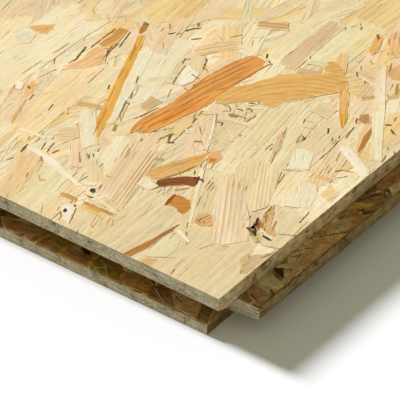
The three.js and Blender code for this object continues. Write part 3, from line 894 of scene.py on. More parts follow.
# %% Chips laid one by one
OUTLINED = [
    # tone, grain angle, ring gap, contrast, ring arch, edge wear and rim shade, outline
    ("peach", 110, 1.8, 0.3, 0, 0, (-22, 129, -19, 128.6, -15.4, 121, -12.2, 112, -11.6, 108.4, -15, 112,
     -18.8, 119, -20.8, 124)),
    ("ivory", 111, 3.0, 0.1, 0, 0, (-124.6, 117, -120, 114, -113.6, 96, -103.6, 66, -108, 62, -113, 70,
     -118, 84, -122, 96, -126, 108)),
    ("honey", 112, 1.5, 0.55, 0, 0.4, (-132.6, 120, -128.4, 110, -124.8, 100, -121.4, 90, -117.7, 80,
     -113.6, 70, -110, 60, -106.4, 53.6, -104, 51, -103, 54, -105, 60, -107.9, 70, -112.5, 80, -116.6, 90,
     -120.4, 100, -124.6, 110, -128.2, 118, -130, 122.4)),
    ("brown", 108, 1.2, 0.3, 0, 0, (-18.8, 128, -17.2, 126.6, -15.2, 121.6, -13.4, 116, -12.6, 110.6,
     -14.2, 112.4, -16, 117, -18, 122)),
    ("cream", 120, 1.6, 0.5, 0, 0.1, (-46, 82, -38, 84, -30, 82, -27, 75, -24, 68, -21, 60, -24, 54,
     -34, 60, -40, 66, -45, 70, -47.6, 74)),
    ("shell", 123, 2.2, 0.55, 0, 0.1, (-48.4, 66, -44, 68.4, -37.6, 66, -32, 59.6, -26, 54, -20, 47.6,
     -13.6, 38, -17, 33.4, -21.4, 28.6, -25.4, 29.4, -31, 33.6, -36, 42, -41, 52, -46, 61)),
    ("lichen", 80, 3.0, 0.05, 0, 0, (-43.5, 23, -36, 22.5, -33.5, 15, -34, 9, -41, 4.5, -43, 12)),
    ("salmon", 80, 2.4, 0.2, 0, 0, (-141.3, 104, -136, 104, -131, 96, -134, 91, -137, 87, -143, 82,
     -144.5, 84, -141, 92)),
    ("amber", 80, 1.8, 0.5, 0, 0, (-141, 119, -137, 119.6, -135.4, 112, -135.6, 104.5, -138.4, 102.5,
     -141.2, 104, -140.8, 112)),
    ("ochre", 82, 1.8, 0.6, 0, 0, (-140.2, 119, -136.9, 119.4, -136.2, 112, -138, 103.6, -141.2, 104.4,
     -140.4, 112)),
    ("amber", 60, 2.0, 0.3, 0, 0.1, (-171, 96, -169.8, 98.4, -163, 104.5, -161.6, 97, -166, 95)),
    ("pearl", 70, 2.6, 0.1, 0, 0.2, (-172, 95, -165, 94.5, -163.4, 88, -167, 84.5, -173, 88)),
    ("sand", 40, 2.0, 0.3, 0, 0, (-119, 54, -114, 56, -110, 51, -113, 43.5, -120, 44.5)),
    ("peach", 120, 2.0, 0.3, 0, 0.1, (-59, 159.5, -57, 161, -55, 160.5, -51, 154, -48.6, 150, -54, 149,
     -57, 154)),
    ("amber", 47, 3.0, 0.4, 13, 0.4, (-84, 108, -79.8, 101.2, -76, 104, -70.5, 110, -67.2, 112.8,
     -62.8, 112.8, -58.4, 113.3, -57.9, 118.2, -54.6, 121.6, -50.2, 129.2, -44.3, 137, -41, 140.8,
     -41.5, 142.5, -45, 146.5, -48.7, 150.2, -52.5, 151.3, -56.4, 144.7, -64.1, 139.2, -70.7, 133.1,
     -76.2, 121, -79.5, 116)),
    ("brass", 50, 1.8, 0.4, 0, 0.1, (-60.4, 150, -58.4, 153.5, -55, 153.4, -51, 152.4, -49, 149.4, -52, 147,
     -56, 145.4, -58, 147)),
    ("orange", 80, 2.6, 0.72, 2, 0.3, (-96.1, 66, -95.2, 64.6, -93, 68, -88.6, 69.8, -86.4, 78.1,
     -84.2, 86.9, -82, 94.6, -80.4, 101.2, -81.2, 106, -80.4, 113, -80, 118, -79.3, 127, -78.2, 133,
     -76.8, 136.9, -80, 138, -86.6, 138, -88.9, 132.5, -90.3, 129.2, -92.5, 118.2, -93.6, 107.2,
     -94.1, 90.7, -95.8, 82, -97.4, 76, -97.2, 70)),
    ("tangerine", 81, 2.4, 0.65, 0, 0, (-95.2, 71, -90, 73, -87.6, 79.4, -85.2, 88, -83, 97, -82, 106,
     -80.6, 116, -82, 125, -84, 114, -86, 104, -88.6, 97, -91.2, 90, -93.6, 82, -96, 75)),
    ("amber", 63, 2.2, 0.6, 0, 0.6, (-73.8, 48.2, -70, 46.4, -66.6, 49.4, -63, 56.4, -60.6, 63.6, -59, 69.4,
     -60.4, 74.4, -62.2, 75.4, -64.8, 70.4, -68.6, 63, -72.4, 55.6)),
    ("tan", 63, 2.0, 0.3, 0, 0, (-70.6, 52, -67.4, 50.8, -64.4, 57.4, -62.4, 64, -63.8, 66.6, -67.4, 60.6)),
    ("russet", 42, 1.5, 0.75, 0, 0.6, (-66.6, 44, -67.6, 47.4, -64.4, 51.8, -59.8, 56.5, -56, 58.8,
     -54, 60.6, -51.8, 58.4, -52, 55.2, -53.2, 52.6, -56.1, 52.1, -59.9, 48.9, -64.3, 44.4)),
    ("rust", 30, 2.4, 0.3, 0, 0.8, (-56.5, 44.2, -55.1, 45.1, -48.7, 45.3, -45.1, 40.5, -45.5, 35.5,
     -48.3, 36, -50.6, 37.5, -52.9, 37.1, -55.1, 36, -56.2, 40)),
    ("red_brown", 80, 1.5, 0.3, 0, 0.3, (-56.5, 44.4, -55.2, 44.6, -54.4, 40, -54.2, 36.8, -55.4, 35.9,
     -56.4, 40)),
    ("brown", 80, 1.4, 0.5, 0, 0.4, (-43, 29.4, -42.4, 25, -43, 20, -43.4, 14, -43.6, 9, -45, 4, -46, 0.4,
     -49.3, 0.4, -48.4, 5, -47.1, 10, -45.8, 15, -44.7, 20, -43.9, 25)),
    ("salmon", 80, 2.0, 0.3, 0, 0, (-148.4, 70.4, -144.2, 68.6, -142.8, 62, -143.6, 58, -147.5, 62)),
    ("amber", 80, 1.8, 0.4, 0, 0, (-147.6, 68.6, -144.8, 67.6, -144, 64, -146.6, 63.4)),
    ("white", 40, 2.0, 0.05, 0, 0, (-153, 66.6, -149.4, 65.6, -147.6, 61.4, -150.6, 60.4)),
    ("milk", 80, 3.0, 0.05, 0, 0.1, (-104, 116, -96, 114, -95, 108, -97, 103, -100, 103, -103, 110)),
    ("drab", 85, 2.0, 0.3, 0, 0, (-103.5, 90.5, -97, 90.5, -98, 81, -103, 80.5)),
    ("pale", 85, 2.4, 0.1, 0, 0.3, (-73, 47, -64, 45, -66, 40, -73, 40)),
    ("ivory", 120, 3.0, 0.03, 0, 0, (-35.4, 98.5, -31, 100.4, -27, 100, -22.2, 90.5, -24, 88.6, -30.5, 84.5,
     -32, 90.5)),
    ("pearl", 120, 3.0, 0.03, 0, 0, (-20, 83.6, -13, 84, -9, 78, -6.8, 70, -12, 67, -16, 65, -20, 70)),
    ("straw", 80, 2.0, 0.2, 0, 0, (-10, 88, -3, 86, -2, 78, -9, 79)),
    ("tan", 75, 1.6, 0.5, 0, 0.4, (-20, 64, -16.4, 59, -12, 50, -12.6, 45.6, -16.6, 50, -19.6, 56)),
    ("drab", 80, 1.6, 0.4, 0, 0, (-9, 31, -5.5, 31, -2, 37, -0.2, 39, -0.2, 26, -2, 19.4, -4, 18.6,
     -6.6, 23, -9, 26)),
    ("taupe", 80, 1.6, 0.5, 0, 0, (-7, 30, -3.4, 33, -1.4, 30, -0.8, 24, -3.5, 20, -6.5, 24)),
    ("pale", 80, 2.0, 0.15, 0, 0.2, (-10, 39, -1.2, 40, -1.5, 37, -6.5, 30.6)),
    ("tan", 70, 1.4, 0.5, 0, 0.1, (-42, 41, -36, 43, -30.5, 36.5, -35, 34, -39, 34)),
    ("apricot", 75, 1.8, 0.5, 0, 0, (-60.6, 76.4, -57.6, 78, -54.8, 75, -55.4, 70.4, -58, 69, -60.6, 72)),
    ("rust", 75, 1.8, 0.4, 0, 0, (-59.6, 72.4, -56.2, 73.4, -55.8, 70.6, -58, 69.4)),
    ("clay", 70, 1.4, 0.7, 0, 0.2, (-28.2, 132, -25.6, 134.6, -23.6, 133.4, -21, 130.4, -22, 127.4,
     -24, 127.8, -25.5, 127.4)),
    ("brass", 60, 1.6, 0.5, 0, 0, (-48.4, 145.4, -45, 146.6, -41.8, 142.4, -41.2, 140.4, -43.6, 138,
     -47, 140.6)),
    ("dusty", 115, 1.4, 0.35, 0, 0.3, (-46.6, 103, -44.6, 104.6, -41.4, 97, -37.6, 85.4, -38.8, 84.4,
     -42.2, 92, -45, 98)),
    ("dusty", 115, 1.4, 0.3, 0, 0.2, (-110, 83.4, -108, 82.4, -105.4, 75.6, -102.8, 69, -105, 69.6,
     -108, 77)),
    ("milk", 20, 2.0, 0.1, 0, 0, (-88, 14, -83, 13, -79, 3, -83, 4, -88, 9)),
    ("bark", 30, 1.2, 0.1, 0, 0, (-86.5, 9.8, -85.3, 10.1, -84.3, 8.7, -84.7, 7.4, -85.9, 7.8)),
    ("bark", 30, 1.2, 0.1, 0, 0, (-85.6, 27.2, -84.1, 27.6, -82.9, 26.2, -83.1, 24.9, -84.5, 24.5,
     -85.7, 25.8)),
    ("tan", 75, 2.0, 0.2, 0, 0.1, (-42, 0, -39.5, 4.5, -35.5, 6, -35.4, 0)),
    ("umber", 60, 1.2, 0.8, 0, 0.2, (-19.8, 51.4, -18.4, 52.6, -16.8, 51.4, -15.2, 50.6, -14.2, 48,
     -15.2, 46, -13.4, 44.8, -12.6, 42.8, -14.4, 41, -16.2, 41.8, -17, 43.4, -19.4, 43.6, -19.8, 45,
     -18.2, 46.4, -19.4, 48.6)),
    ("moss", 60, 1.2, 0.4, 0, 0, (-14, 43.4, -10.4, 43, -9.2, 40.4, -11, 38.4, -14, 40)),
    ("tan", 60, 1.2, 0.5, 0, 0, (-12.6, 50.6, -9.4, 49.4, -6.8, 47, -8.6, 45.6, -12.4, 46.4)),
]
print("chips laid by hand:", len(OUTLINED))

# %% Marks laid one by one
MARKS = [
    # tone, width, the places that it runs through
    ("dark", 1.2, (-144, 100, -143.2, 95, -142.4, 91, -143, 87)),
    ("dark", 0.8, (-135.6, 119, -134, 112, -133, 108)),
    ("umber", 0.9, (-135, 110, -134.6, 103, -133.4, 97)), ("umber", 0.7, (-136, 108, -135.2, 102)),
    ("grey", 0.8, (-129.5, 93, -129.3, 88, -128.8, 81)), ("dark", 0.9, (-131.8, 61.6, -130.8, 57.4)),
    ("dark", 1.1, (-142, 62, -141.4, 58.4)), ("dark", 1.5, (-146.8, 64.9, -145.6, 64.2)),
    ("umber", 0.9, (-149.6, 86, -148, 83.6)), ("tan", 1.2, (-151, 98, -152, 88)),
    ("grey", 0.7, (-153, 82, -154, 70)), ("tan", 0.9, (-145, 81, -147, 72)),
    ("umber", 0.7, (-152, 62.4, -151, 60.6)), ("dark", 1.0, (-121, 85.6, -120, 83.4)),
    ("umber", 1.0, (-120.6, 121.4, -118.4, 118.4)), ("umber", 0.8, (-107.2, 118.8, -106, 115)),
    ("grey", 0.7, (-124, 45, -122.5, 41)), ("grey", 0.7, (-119, 46, -118, 43)),
    ("grey", 0.7, (-126, 64, -123, 60)), ("umber", 0.8, (-116, 57.4, -114.6, 55.6)),
    ("dark", 0.9, (-118.8, 39.5, -117.6, 35)), ("dark", 0.8, (-116, 41.4, -115.6, 38, -114.6, 35)),
    ("umber", 1.2, (-112.6, 36, -111.8, 39)), ("umber", 0.9, (-126.6, 38.6, -125.4, 37)),
    ("grey", 0.8, (-123, 42, -122.4, 37.5)), ("dark", 1.4, (-124, 34, -123.2, 29)),
    ("umber", 1.2, (-123.4, 24, -124.6, 21)), ("umber", 1.1, (-114.6, 31, -113, 29.4)),
    ("grey", 0.8, (-113.8, 29, -113.4, 27.4)), ("umber", 0.7, (-112.6, 19.4, -111.6, 17)),
    ("tan", 1.2, (-108.5, 21, -106, 18.5, -104.4, 20)), ("dark", 1.7, (-115, 97.2, -113.2, 93.4)),
    ("grey", 0.9, (-112, 93, -109, 88, -108.6, 84)), ("dark", 0.9, (-109.2, 81, -107, 80.4)),
    ("umber", 0.9, (-108.4, 80, -107, 77, -106.2, 73.4)), ("grey", 0.7, (-106, 73, -103, 69.6)),
    ("olive", 1.8, (-103, 66, -101.6, 63)), ("dark", 0.7, (-104, 115, -102.6, 107, -101, 102)),
    ("grey", 0.6, (-99.6, 99, -97, 93)), ("bark", 1.2, (-99.8, 123.6, -98.8, 121.8)),
    ("dark", 0.9, (-98.6, 121, -97.4, 118, -96.8, 117)), ("umber", 0.9, (-96.5, 118, -95, 117.4)),
    ("dark", 1.0, (-98.6, 111.6, -94.4, 111)), ("dark", 1.1, (-93.6, 106.8, -93, 105.4)),
    ("grey", 0.9, (-98, 103, -96, 103.6)), ("umber", 0.8, (-99.8, 74, -98.5, 77, -97.5, 81, -96, 86)),
    ("umber", 0.8, (-80.6, 95, -80, 92)), ("bark", 1.0, (-79.8, 89.6, -79, 86.6)),
    ("umber", 0.7, (-78, 84.6, -78.4, 82)), ("umber", 0.6, (-78.6, 80.4, -78.2, 76, -78, 71.6)),
    ("dark", 1.1, (-83.4, 69.6, -82.2, 73, -81, 76)),
    ("dark", 1.2, (-81.4, 75, -80, 71.4, -79, 70, -77.4, 71.2)),
    ("umber", 0.8, (-75, 86, -72.6, 83.4, -71, 82.4)), ("umber", 1.3, (-71, 77, -68.6, 78.6, -67, 77.2)),
    ("mauve", 1.1, (-79, 93.4, -74, 97)), ("dark", 1.1, (-71, 93, -69, 93.6, -68.6, 92)),
    ("umber", 0.6, (-74.4, 97, -71, 91.2)), ("grey", 0.6, (-67, 82, -65, 79)),
    ("umber", 1.0, (-58.8, 91.8, -58.2, 91.2)), ("grey", 0.7, (-64, 82.5, -61, 81.5)),
    ("umber", 0.8, (-60, 72, -58.4, 68, -56.6, 64)),
    ("dark", 1.2, (-70, 104.6, -68.4, 105.4, -67.4, 104.8)), ("dark", 0.9, (-67, 107, -65.8, 108.2)),
    ("umber", 1.0, (-68.4, 110.8, -66.4, 112)), ("umber", 0.9, (-65.6, 108, -64.4, 106.8)),
    ("umber", 0.8, (-66.5, 114, -64.5, 113)), ("grey", 0.9, (-72.5, 107, -71.4, 106)),
    ("umber", 1.0, (-73.6, 104, -71.4, 102)), ("umber", 0.9, (-76.6, 103.4, -74.4, 104.2)),
    ("umber", 1.0, (-73.6, 100, -71.6, 101.4)), ("umber", 0.8, (-66, 101.6, -63.4, 101.8)),
    ("dark", 0.8, (-53.6, 126.2, -52.4, 124.8)), ("grey", 2.0, (-76.4, 58.6, -74.4, 59.6)),
    ("umber", 1.1, (-89, 65.4, -88.6, 63.8)), ("umber", 0.8, (-62, 62, -61, 60.4)),
    ("dark", 0.8, (-59, 61.4, -58, 59.6)), ("umber", 0.9, (-64, 57.6, -62.4, 56)),
    ("tan", 0.9, (-50.4, 60, -49.2, 55)), ("umber", 0.8, (-48.6, 60, -47.2, 54)),
    ("tan", 0.8, (-47, 59, -46, 55)), ("grey", 2.6, (-89, 57, -87, 52)),
    ("umber", 0.8, (-99, 49.6, -98.4, 48)), ("bark", 1.0, (-98.6, 45.2, -97.6, 44)),
    ("umber", 0.8, (-104, 43, -102, 40.4, -100, 38)), ("grey", 0.8, (-101.4, 44.4, -98.6, 41.6)),
    ("grey", 0.9, (-89.6, 49, -89.2, 46.4)), ("umber", 0.7, (-92, 43, -91.6, 40)),
    ("dark", 0.8, (-91.8, 32, -92, 30, -92.8, 27.4)), ("tan", 0.7, (-94, 34, -93.4, 29)),
    ("umber", 1.0, (-96, 25.6, -94, 24.8)), ("umber", 1.4, (-83.6, 22, -82, 22.4)),
    ("dark", 0.9, (-83.8, 31.2, -83, 28.4)), ("umber", 1.1, (-84.6, 14.2, -83.8, 13)),
    ("dark", 1.0, (-86.6, 7.2, -84.3, 4.4)), ("umber", 0.9, (-88.6, 9.2, -88.2, 7)),
    ("grey", 0.8, (-81.6, 8.2, -80, 6.4)), ("brown", 0.9, (-83.4, 18.2, -75, 18.6, -67, 18.9)),
    ("umber", 0.8, (-92.2, 17.8, -86.6, 17.9)), ("tan", 0.6, (-73.6, 16, -71.4, 7)),
    ("tan", 0.6, (-70.6, 16, -68.4, 9)), ("tan", 0.6, (-68, 16, -66, 11)),
    ("tan", 0.6, (-66.4, 16, -64, 12)), ("olive", 1.0, (-70.6, 7.4, -70, 6.8)),
    ("umber", 0.8, (-73.4, 1.8, -72.4, -0.5)), ("grey", 0.7, (-95, 6, -92, 1)),
    ("bark", 1.2, (-19.6, 52.5, -18.2, 49.5)), ("bark", 1.5, (-18.4, 50.6, -16.6, 46.4)),
    ("red_brown", 1.3, (-17.2, 49.8, -15.4, 47)), ("umber", 1.4, (-16, 51, -14, 48)),
    ("bark", 1.1, (-16.4, 46.2, -15, 44.8)), ("bark", 1.5, (-15.4, 45.4, -13.4, 42.2)),
    ("dark", 1.3, (-18.6, 44.4, -16.4, 43.2)), ("umber", 1.2, (-19.4, 46, -17.6, 44.8)),
    ("bark", 1.0, (-15.8, 41.2, -13.6, 41.6)), ("umber", 1.0, (-14, 50, -12.4, 47)),
    ("dark", 0.9, (-12.9, 48.4, -11.7, 45.8)), ("umber", 1.0, (-17.6, 56, -15.4, 51.6)),
    ("umber", 0.9, (-19, 58, -17.6, 54)), ("tan", 1.0, (-15, 56, -12.6, 51)),
    ("rust", 1.0, (-12.4, 55, -10, 49)), ("olive", 1.1, (-12, 41.6, -9.6, 39.6)),
    ("bark", 1.7, (-9.5, 44, -6.6, 43.7)), ("umber", 1.1, (-36.6, 41.6, -37.4, 37.8)),
    ("dark", 1.0, (-37.6, 38.4, -38.6, 35.6)), ("dark", 1.2, (-36.2, 37.4, -34.6, 36)),
    ("umber", 1.1, (-38.4, 36.6, -36.6, 35.6)), ("umber", 0.9, (-60, 71, -59.6, 67, -58.6, 65)),
    ("rust", 0.8, (-56, 71, -54.8, 67)), ("olive", 0.9, (-10.8, 40, -10, 38.4)),
    ("dark", 0.9, (-19.8, 62, -19, 57.6)), ("umber", 0.8, (-47, 50, -44, 43)),
    ("umber", 0.7, (-42.4, 25, -43, 19, -42.8, 9.4)), ("rust", 0.9, (-44.6, 22, -45.4, 14, -46.4, 8)),
    ("maroon", 1.8, (-55.2, 59.4, -53, 54.6)), ("maroon", 1.6, (-56, 57.6, -53, 58.6)),
    ("maroon", 1.5, (-66.8, 47, -64.6, 45)), ("maroon", 0.8, (-64, 48, -58, 53)),
    ("dark", 0.9, (-62, 52.6, -57, 56)), ("bark", 1.6, (-19.4, 51.6, -17.4, 48.6)),
    ("bark", 1.4, (-16.2, 44.4, -13.4, 42.6)), ("bark", 1.3, (-19.6, 44.6, -17, 43.8)),
    ("tan", 0.8, (-17.4, 47.2, -15.2, 46.2)), ("bark", 2.1, (-10.6, 44.2, -7.2, 43.8)),
    ("pale", 1.0, (-14.6, 47.2, -10, 45.8, -4, 45.6)), ("umber", 0.9, (-40.6, 32.6, -39, 29.6)),
    ("umber", 0.9, (-37.4, 27.2, -36, 25.8)), ("tan", 0.9, (-41, 24, -40.2, 20)),
    ("umber", 0.8, (-33.2, 21.8, -32, 20.8)), ("dark", 0.8, (-26.2, 4.8, -25.8, 1.8)),
    ("grey", 0.8, (-26.4, 21.6, -23.4, 28.4)), ("grey", 0.5, (-38, 6, -30, 11.5)),
    ("dark", 1.0, (-4, 20.6, -3.2, 18.8)), ("umber", 0.9, (-8, 31, -6.4, 29)),
    ("grey", 1.0, (-8, 38.6, 0, 41.6)), ("umber", 0.7, (-7, 48.8, 0, 52.6)),
    ("umber", 0.8, (-46.6, 107.4, -44, 101)), ("umber", 1.3, (-45.6, 104, -43.6, 101)),
    ("umber", 1.0, (-45.2, 100, -44.4, 98.8)), ("umber", 1.1, (-43, 99, -40.6, 93, -38.8, 88, -37.2, 84.4)),
    ("mauve", 1.6, (-42, 98, -39.4, 91)), ("dark", 0.7, (-44.6, 95, -44.6, 90)),
    ("umber", 0.7, (-43.3, 93, -42.8, 91)), ("umber", 0.9, (-39.2, 107.4, -38, 106)),
    ("dark", 1.1, (-37.6, 106.6, -36, 104.4)), ("umber", 1.1, (-36.6, 104, -37.4, 101)),
    ("umber", 0.8, (-38.6, 106, -37.6, 102)), ("dark", 0.9, (-44, 116.2, -42.8, 113.4)),
    ("umber", 0.9, (-42.5, 115.5, -38.8, 116.6)), ("grey", 0.8, (-41, 111.5, -37.4, 113)),
    ("bark", 1.2, (-32.4, 116.8, -30.8, 114.4)), ("brown", 0.8, (-31, 124, -28.2, 120.2)),
    ("dark", 0.9, (-27.2, 129.2, -25.8, 126.4)), ("dark", 0.8, (-24.8, 124.2, -24, 120, -23.2, 116.4)),
    ("dark", 0.9, (-25.8, 115.8, -25, 114)), ("dark", 1.0, (-27.4, 112.8, -26.4, 111.2)),
    ("umber", 0.9, (-25.3, 112.4, -24.8, 109)),
    ("umber", 0.7, (-24.6, 113, -23.5, 108, -23, 102, -23.2, 98.6)), ("umber", 0.7, (-19, 107, -17, 101.4)),
    ("tan", 0.8, (-14, 105, -13, 101)), ("tan", 0.8, (-18, 98, -17, 94)), ("tan", 0.8, (-16, 97, -15, 93)),
    ("dark", 1.1, (-13, 96, -11.4, 98.4)), ("olive", 0.9, (-11.4, 98.4, -7, 99.8)),
    ("umber", 0.9, (-10.6, 92.4, -8, 95, -7.4, 96.6)), ("dark", 0.8, (-10.6, 91, -10.3, 88.4)),
    ("umber", 0.7, (-19.3, 90, -19, 86)), ("umber", 0.8, (-31.6, 89, -30.8, 86)),
    ("tan", 0.8, (-31, 84, -24, 87.5)), ("olive", 0.5, (-30.6, 83, -28, 76)),
    ("olive", 0.5, (-28.8, 82.6, -26.8, 75)), ("dark", 0.8, (-5.2, 68, -4.8, 64, -4.2, 60)),
    ("umber", 1.0, (-2, 104.4, 0, 102)), ("umber", 1.1, (-5.6, 121.4, -4.8, 120.6)),
    ("umber", 1.2, (-1.8, 120.8, -0.6, 119.8)), ("dark", 1.4, (-10.6, 131.2, -8, 130)),
    ("umber", 0.8, (-3, 117, -1.6, 112)), ("umber", 0.9, (-67.2, 150.4, -66, 148.8)),
    ("dark", 0.7, (-75, 149, -75, 143)), ("bark", 1.2, (-81.9, 140.8, -80.8, 138.8)),
    ("dark", 0.9, (-80, 137.8, -79.2, 136.8)), ("red_brown", 1.0, (-78.6, 137.6, -76.4, 136.4)),
    ("grey", 1.1, (-70.8, 133.2, -69.4, 132)), ("brown", 2.2, (-53.6, 178.4, -51.6, 175.8)),
    ("dark", 1.3, (-53.6, 177.6, -51.6, 176.8)), ("rust", 1.3, (-47.8, 181.8, -45.8, 179)),
    ("brown", 1.1, (-42, 173.6, -40, 170.6)), ("taupe", 1.1, (-45.6, 121.8, -38.4, 121.6)),
    ("ochre", 1.0, (-73.2, 51, -71, 57, -67.6, 64, -64, 70.4)),
    ("ochre", 1.5, (-66.2, 50.8, -62.8, 57.6, -61, 63.6)), ("orange", 1.8, (-63.4, 67, -61.4, 73)),
    ("umber", 1.5, (-110.6, 87.4, -109, 84.2)), ("dark", 0.8, (-109.6, 82, -107.2, 76, -104.6, 69.8)),
    ("amber", 2.0, (-142.6, 57.6, -140.6, 50, -138, 42)),
    ("brown", 0.9, (-141.6, 117, -142, 108, -142.4, 101)), ("dark", 1.3, (-66.9, 173.8, -66, 172.8)),
    ("umber", 0.8, (-65.6, 175.8, -64.4, 178.2)), ("dark", 1.0, (-63.8, 179.8, -62.8, 178.8)),
    ("umber", 0.9, (-62, 178.4, -61.4, 176.8)), ("umber", 0.9, (-43.6, 171.2, -42.4, 170.2)),
    ("umber", 0.9, (-45.6, 162.6, -43.8, 161.6)), ("olive", 0.8, (-47, 158, -44.6, 154.8)),
    ("dark", 1.0, (-45.6, 153.6, -44, 151.4)), ("umber", 0.7, (-38, 167, -35, 161)),
    ("umber", 0.9, (-29.2, 156.4, -28, 152.8)), ("dark", 1.2, (-26.6, 149.2, -25, 147.8)),
    ("dark", 1.4, (-15.2, 133, -13.4, 134)), ("dark", 1.3, (-11.6, 131.8, -9.4, 130.2)),
    ("umber", 0.8, (-15, 139.4, -14, 137)), ("dark", 1.3, (-134.6, 127.4, -132.4, 126.6)),
    ("umber", 0.8, (-125.6, 132.6, -124, 130.4)), ("umber", 0.8, (-126.2, 129.2, -126, 127.2)),
    ("bark", 1.3, (-122.2, 127, -120.6, 129.6)), ("umber", 0.8, (-119.6, 129, -118.4, 130.6)),
    ("dark", 1.1, (-118, 133, -116.4, 136, -114.4, 138)), ("umber", 0.9, (-117, 140.4, -116, 138.8)),
    ("umber", 0.8, (-112.6, 130, -110, 133)), ("umber", 0.9, (-104.4, 138.4, -102, 136.8)),
    ("umber", 0.9, (-100.6, 140.8, -98, 144.8)), ("grey", 0.8, (-92, 144.4, -90.4, 141.2)),
    ("grey", 0.8, (-90.6, 149.4, -90, 145.8)), ("umber", 0.8, (-96, 141.4, -94, 140.4)),
    ("grey", 0.7, (-25.6, 52, -24.4, 47)), ("grey", 0.6, (-23, 52, -22.4, 47.5)),
    ("tan", 0.6, (-22, 46, -20.6, 43)), ("umber", 0.7, (-36, 66.5, -34.6, 63)),
    ("grey", 0.7, (-35.6, 62.5, -34.8, 61.2)), ("grey", 0.7, (-26.2, 106, -25, 103.6)),
    ("rust", 1.1, (-93.2, 104.6, -92.6, 115.5)), ("rust", 1.2, (-87, 118.6, -89.2, 110, -91, 102)),
    ("rust", 1.1, (-91, 102, -92.8, 93.5)), ("brown", 1.2, (-81.7, 122.8, -83.7, 116.6, -84.8, 110)),
    ("brown", 1.2, (-84.8, 110, -87, 103.4, -88.1, 99)), ("brown", 1.3, (-88.1, 99, -90.3, 89.1)),
    ("rust", 1.5, (-90.3, 89.1, -92.5, 82.5, -94.6, 74)),
    ("rust", 1.3, (-77.3, 136.4, -78.6, 130, -79.8, 122)),
    ("brown", 1.2, (-79.8, 122, -81.5, 113.8, -84.2, 108.9)), ("rust", 1.0, (-88.6, 131.5, -88.4, 127)),
    ("rust", 1.1, (-85.6, 123, -85.1, 119)), ("brown", 1.1, (-81.3, 101.6, -82.4, 96.8)),
    ("rust", 0.9, (-84, 104.5, -86.4, 98)), ("rust", 0.9, (-86.4, 98.4, -88.4, 90.5)),
    ("rust", 2.2, (-86, 94, -88, 86, -90, 78)), ("rust", 2.0, (-90, 80, -91.6, 73)),
    ("rust", 1.2, (-96.3, 69.6, -95.4, 65.8)), ("rust", 0.8, (-82.8, 131, -84.6, 124)),
    ("rust", 0.8, (-92, 112, -93, 100)), ("rust", 1.0, (-128, 113, -124, 103)),
    ("rust", 1.0, (-123, 98, -120.5, 91)), ("rust", 0.9, (-119, 87, -114.5, 76)),
    ("rust", 0.9, (-113.5, 74, -110.4, 66.6)), ("rust", 1.0, (-110.6, 66, -106, 55)),
    ("rust", 0.8, (-112, 72.5, -108.4, 62)),
]
print("marks laid by hand:", len(MARKS))

# %% [markdown]
# A chip's outline is filled with one face, and inset puts a ring of smaller corners inside it, so that
# the shader can feather the border. Triangulating the outline alone would leave no corners inside for
# that. On a chip with a narrow neck the inset can cross itself and turn faces over, which their normals
# tell, so the ring is made narrower until it doesn't. Each outline becomes a kind of its own, one unit
# long and wide as the drawn kinds are.

# %% Outlines
OUTLINE_RING = 1.4 * MM


def pairs(run):
    return list(zip(run[::2], run[1::2]))


def ringed(corners, ring):
    """A face with a ring of faces along its border."""
    shape = bmesh.new()
    for place in corners:
        shape.verts.new((*place, 0))
    made = bmesh.ops.contextual_create(shape, geom=shape.verts[:])
    bmesh.ops.inset_individual(shape, faces=made["faces"], thickness=ring, use_even_offset=True)
    shape.normal_update()
    return shape


def outlined_chip(corners, angle):
    """A chip from its outline, as a kind of its own, with its middle and its size."""
    turn = np.array([[math.cos(angle), math.sin(angle)], [-math.sin(angle), math.cos(angle)]])
    local = np.array(corners) @ turn.T
    lowest, highest = local.min(0), local.max(0)
    size = highest - lowest
    middle = (lowest + highest) / 2
    ring = min(OUTLINE_RING / MM, 0.2 * min(size))
    shape = ringed(local - middle, ring)
    while len({face.normal.z > 0 for face in shape.faces}) > 1:
        shape.free()
        ring *= 0.7
        shape = ringed(local - middle, ring)
    bmesh.ops.scale(shape, vec=(*(1 / size), 1), verts=shape.verts)
    shape.verts.ensure_lookup_table()
    inner = {tuple(round(part, 5) for part in vert.co.xy) for vert in shape.verts[len(corners):]}
    bmesh.ops.solidify(shape, geom=shape.faces[:], thickness=1.0)
    places, faces, tops, _, _ = unit_arrays(shape)
    from_outline = np.array([float(tuple(round(part, 5) for part in place[:2]) in inner)
                             for place in places.tolist()])
    return (places, faces, tops, from_outline, (local - middle) / size), middle @ turn, size


print("rings are at most", OUTLINE_RING / MM, "mm wide")

# %% [markdown]
# The places in the lists are those that parallel rays would give, but a camera's rays spread a little,
# so each place moves to where the camera's own ray meets its level, by a few millimetres at most. Marks
# are broken into straight slivers, each a little too long so that they join.

# %% Rows laid one by one
LONG_MARK = 5 * MM


def seen_at(x, y, depth):
    """Where the camera's ray for a place given in millimetres from the corner meets its level."""
    offset = corner + Vector((x, y, -depth)) * MM - aim
    distance = (camera.location - aim).length
    ray = right * (offset.dot(right) / distance) + up * (offset.dot(up) / distance) - back
    hit = camera.location + ray * ((corner.z - depth * MM - camera.location.z) / ray.z)
    return hit.x, hit.y


def strand_row(middle, depth, angle, length, width, tone, kind, gap=2.0, contrast=0.3, worn=0.4):
    """One listed strand; places and sizes are in millimetres."""
    row = np.zeros(1, dtype=FIELDS)
    row["x"], row["y"] = seen_at(*middle, depth)
    row["angle"], row["length"], row["width"] = angle, length * MM, width * MM
    row["tone"], row["kind"], row["gap"] = tones[tone], kind, gap * MM
    row["variant"] = draw.integers(0, VARIANTS)
    row["contrast"], row["worn"] = contrast, worn
    row["slant"], row["arch"] = draw.normal(0, 0.02), draw.normal(0, 0.3)
    return row


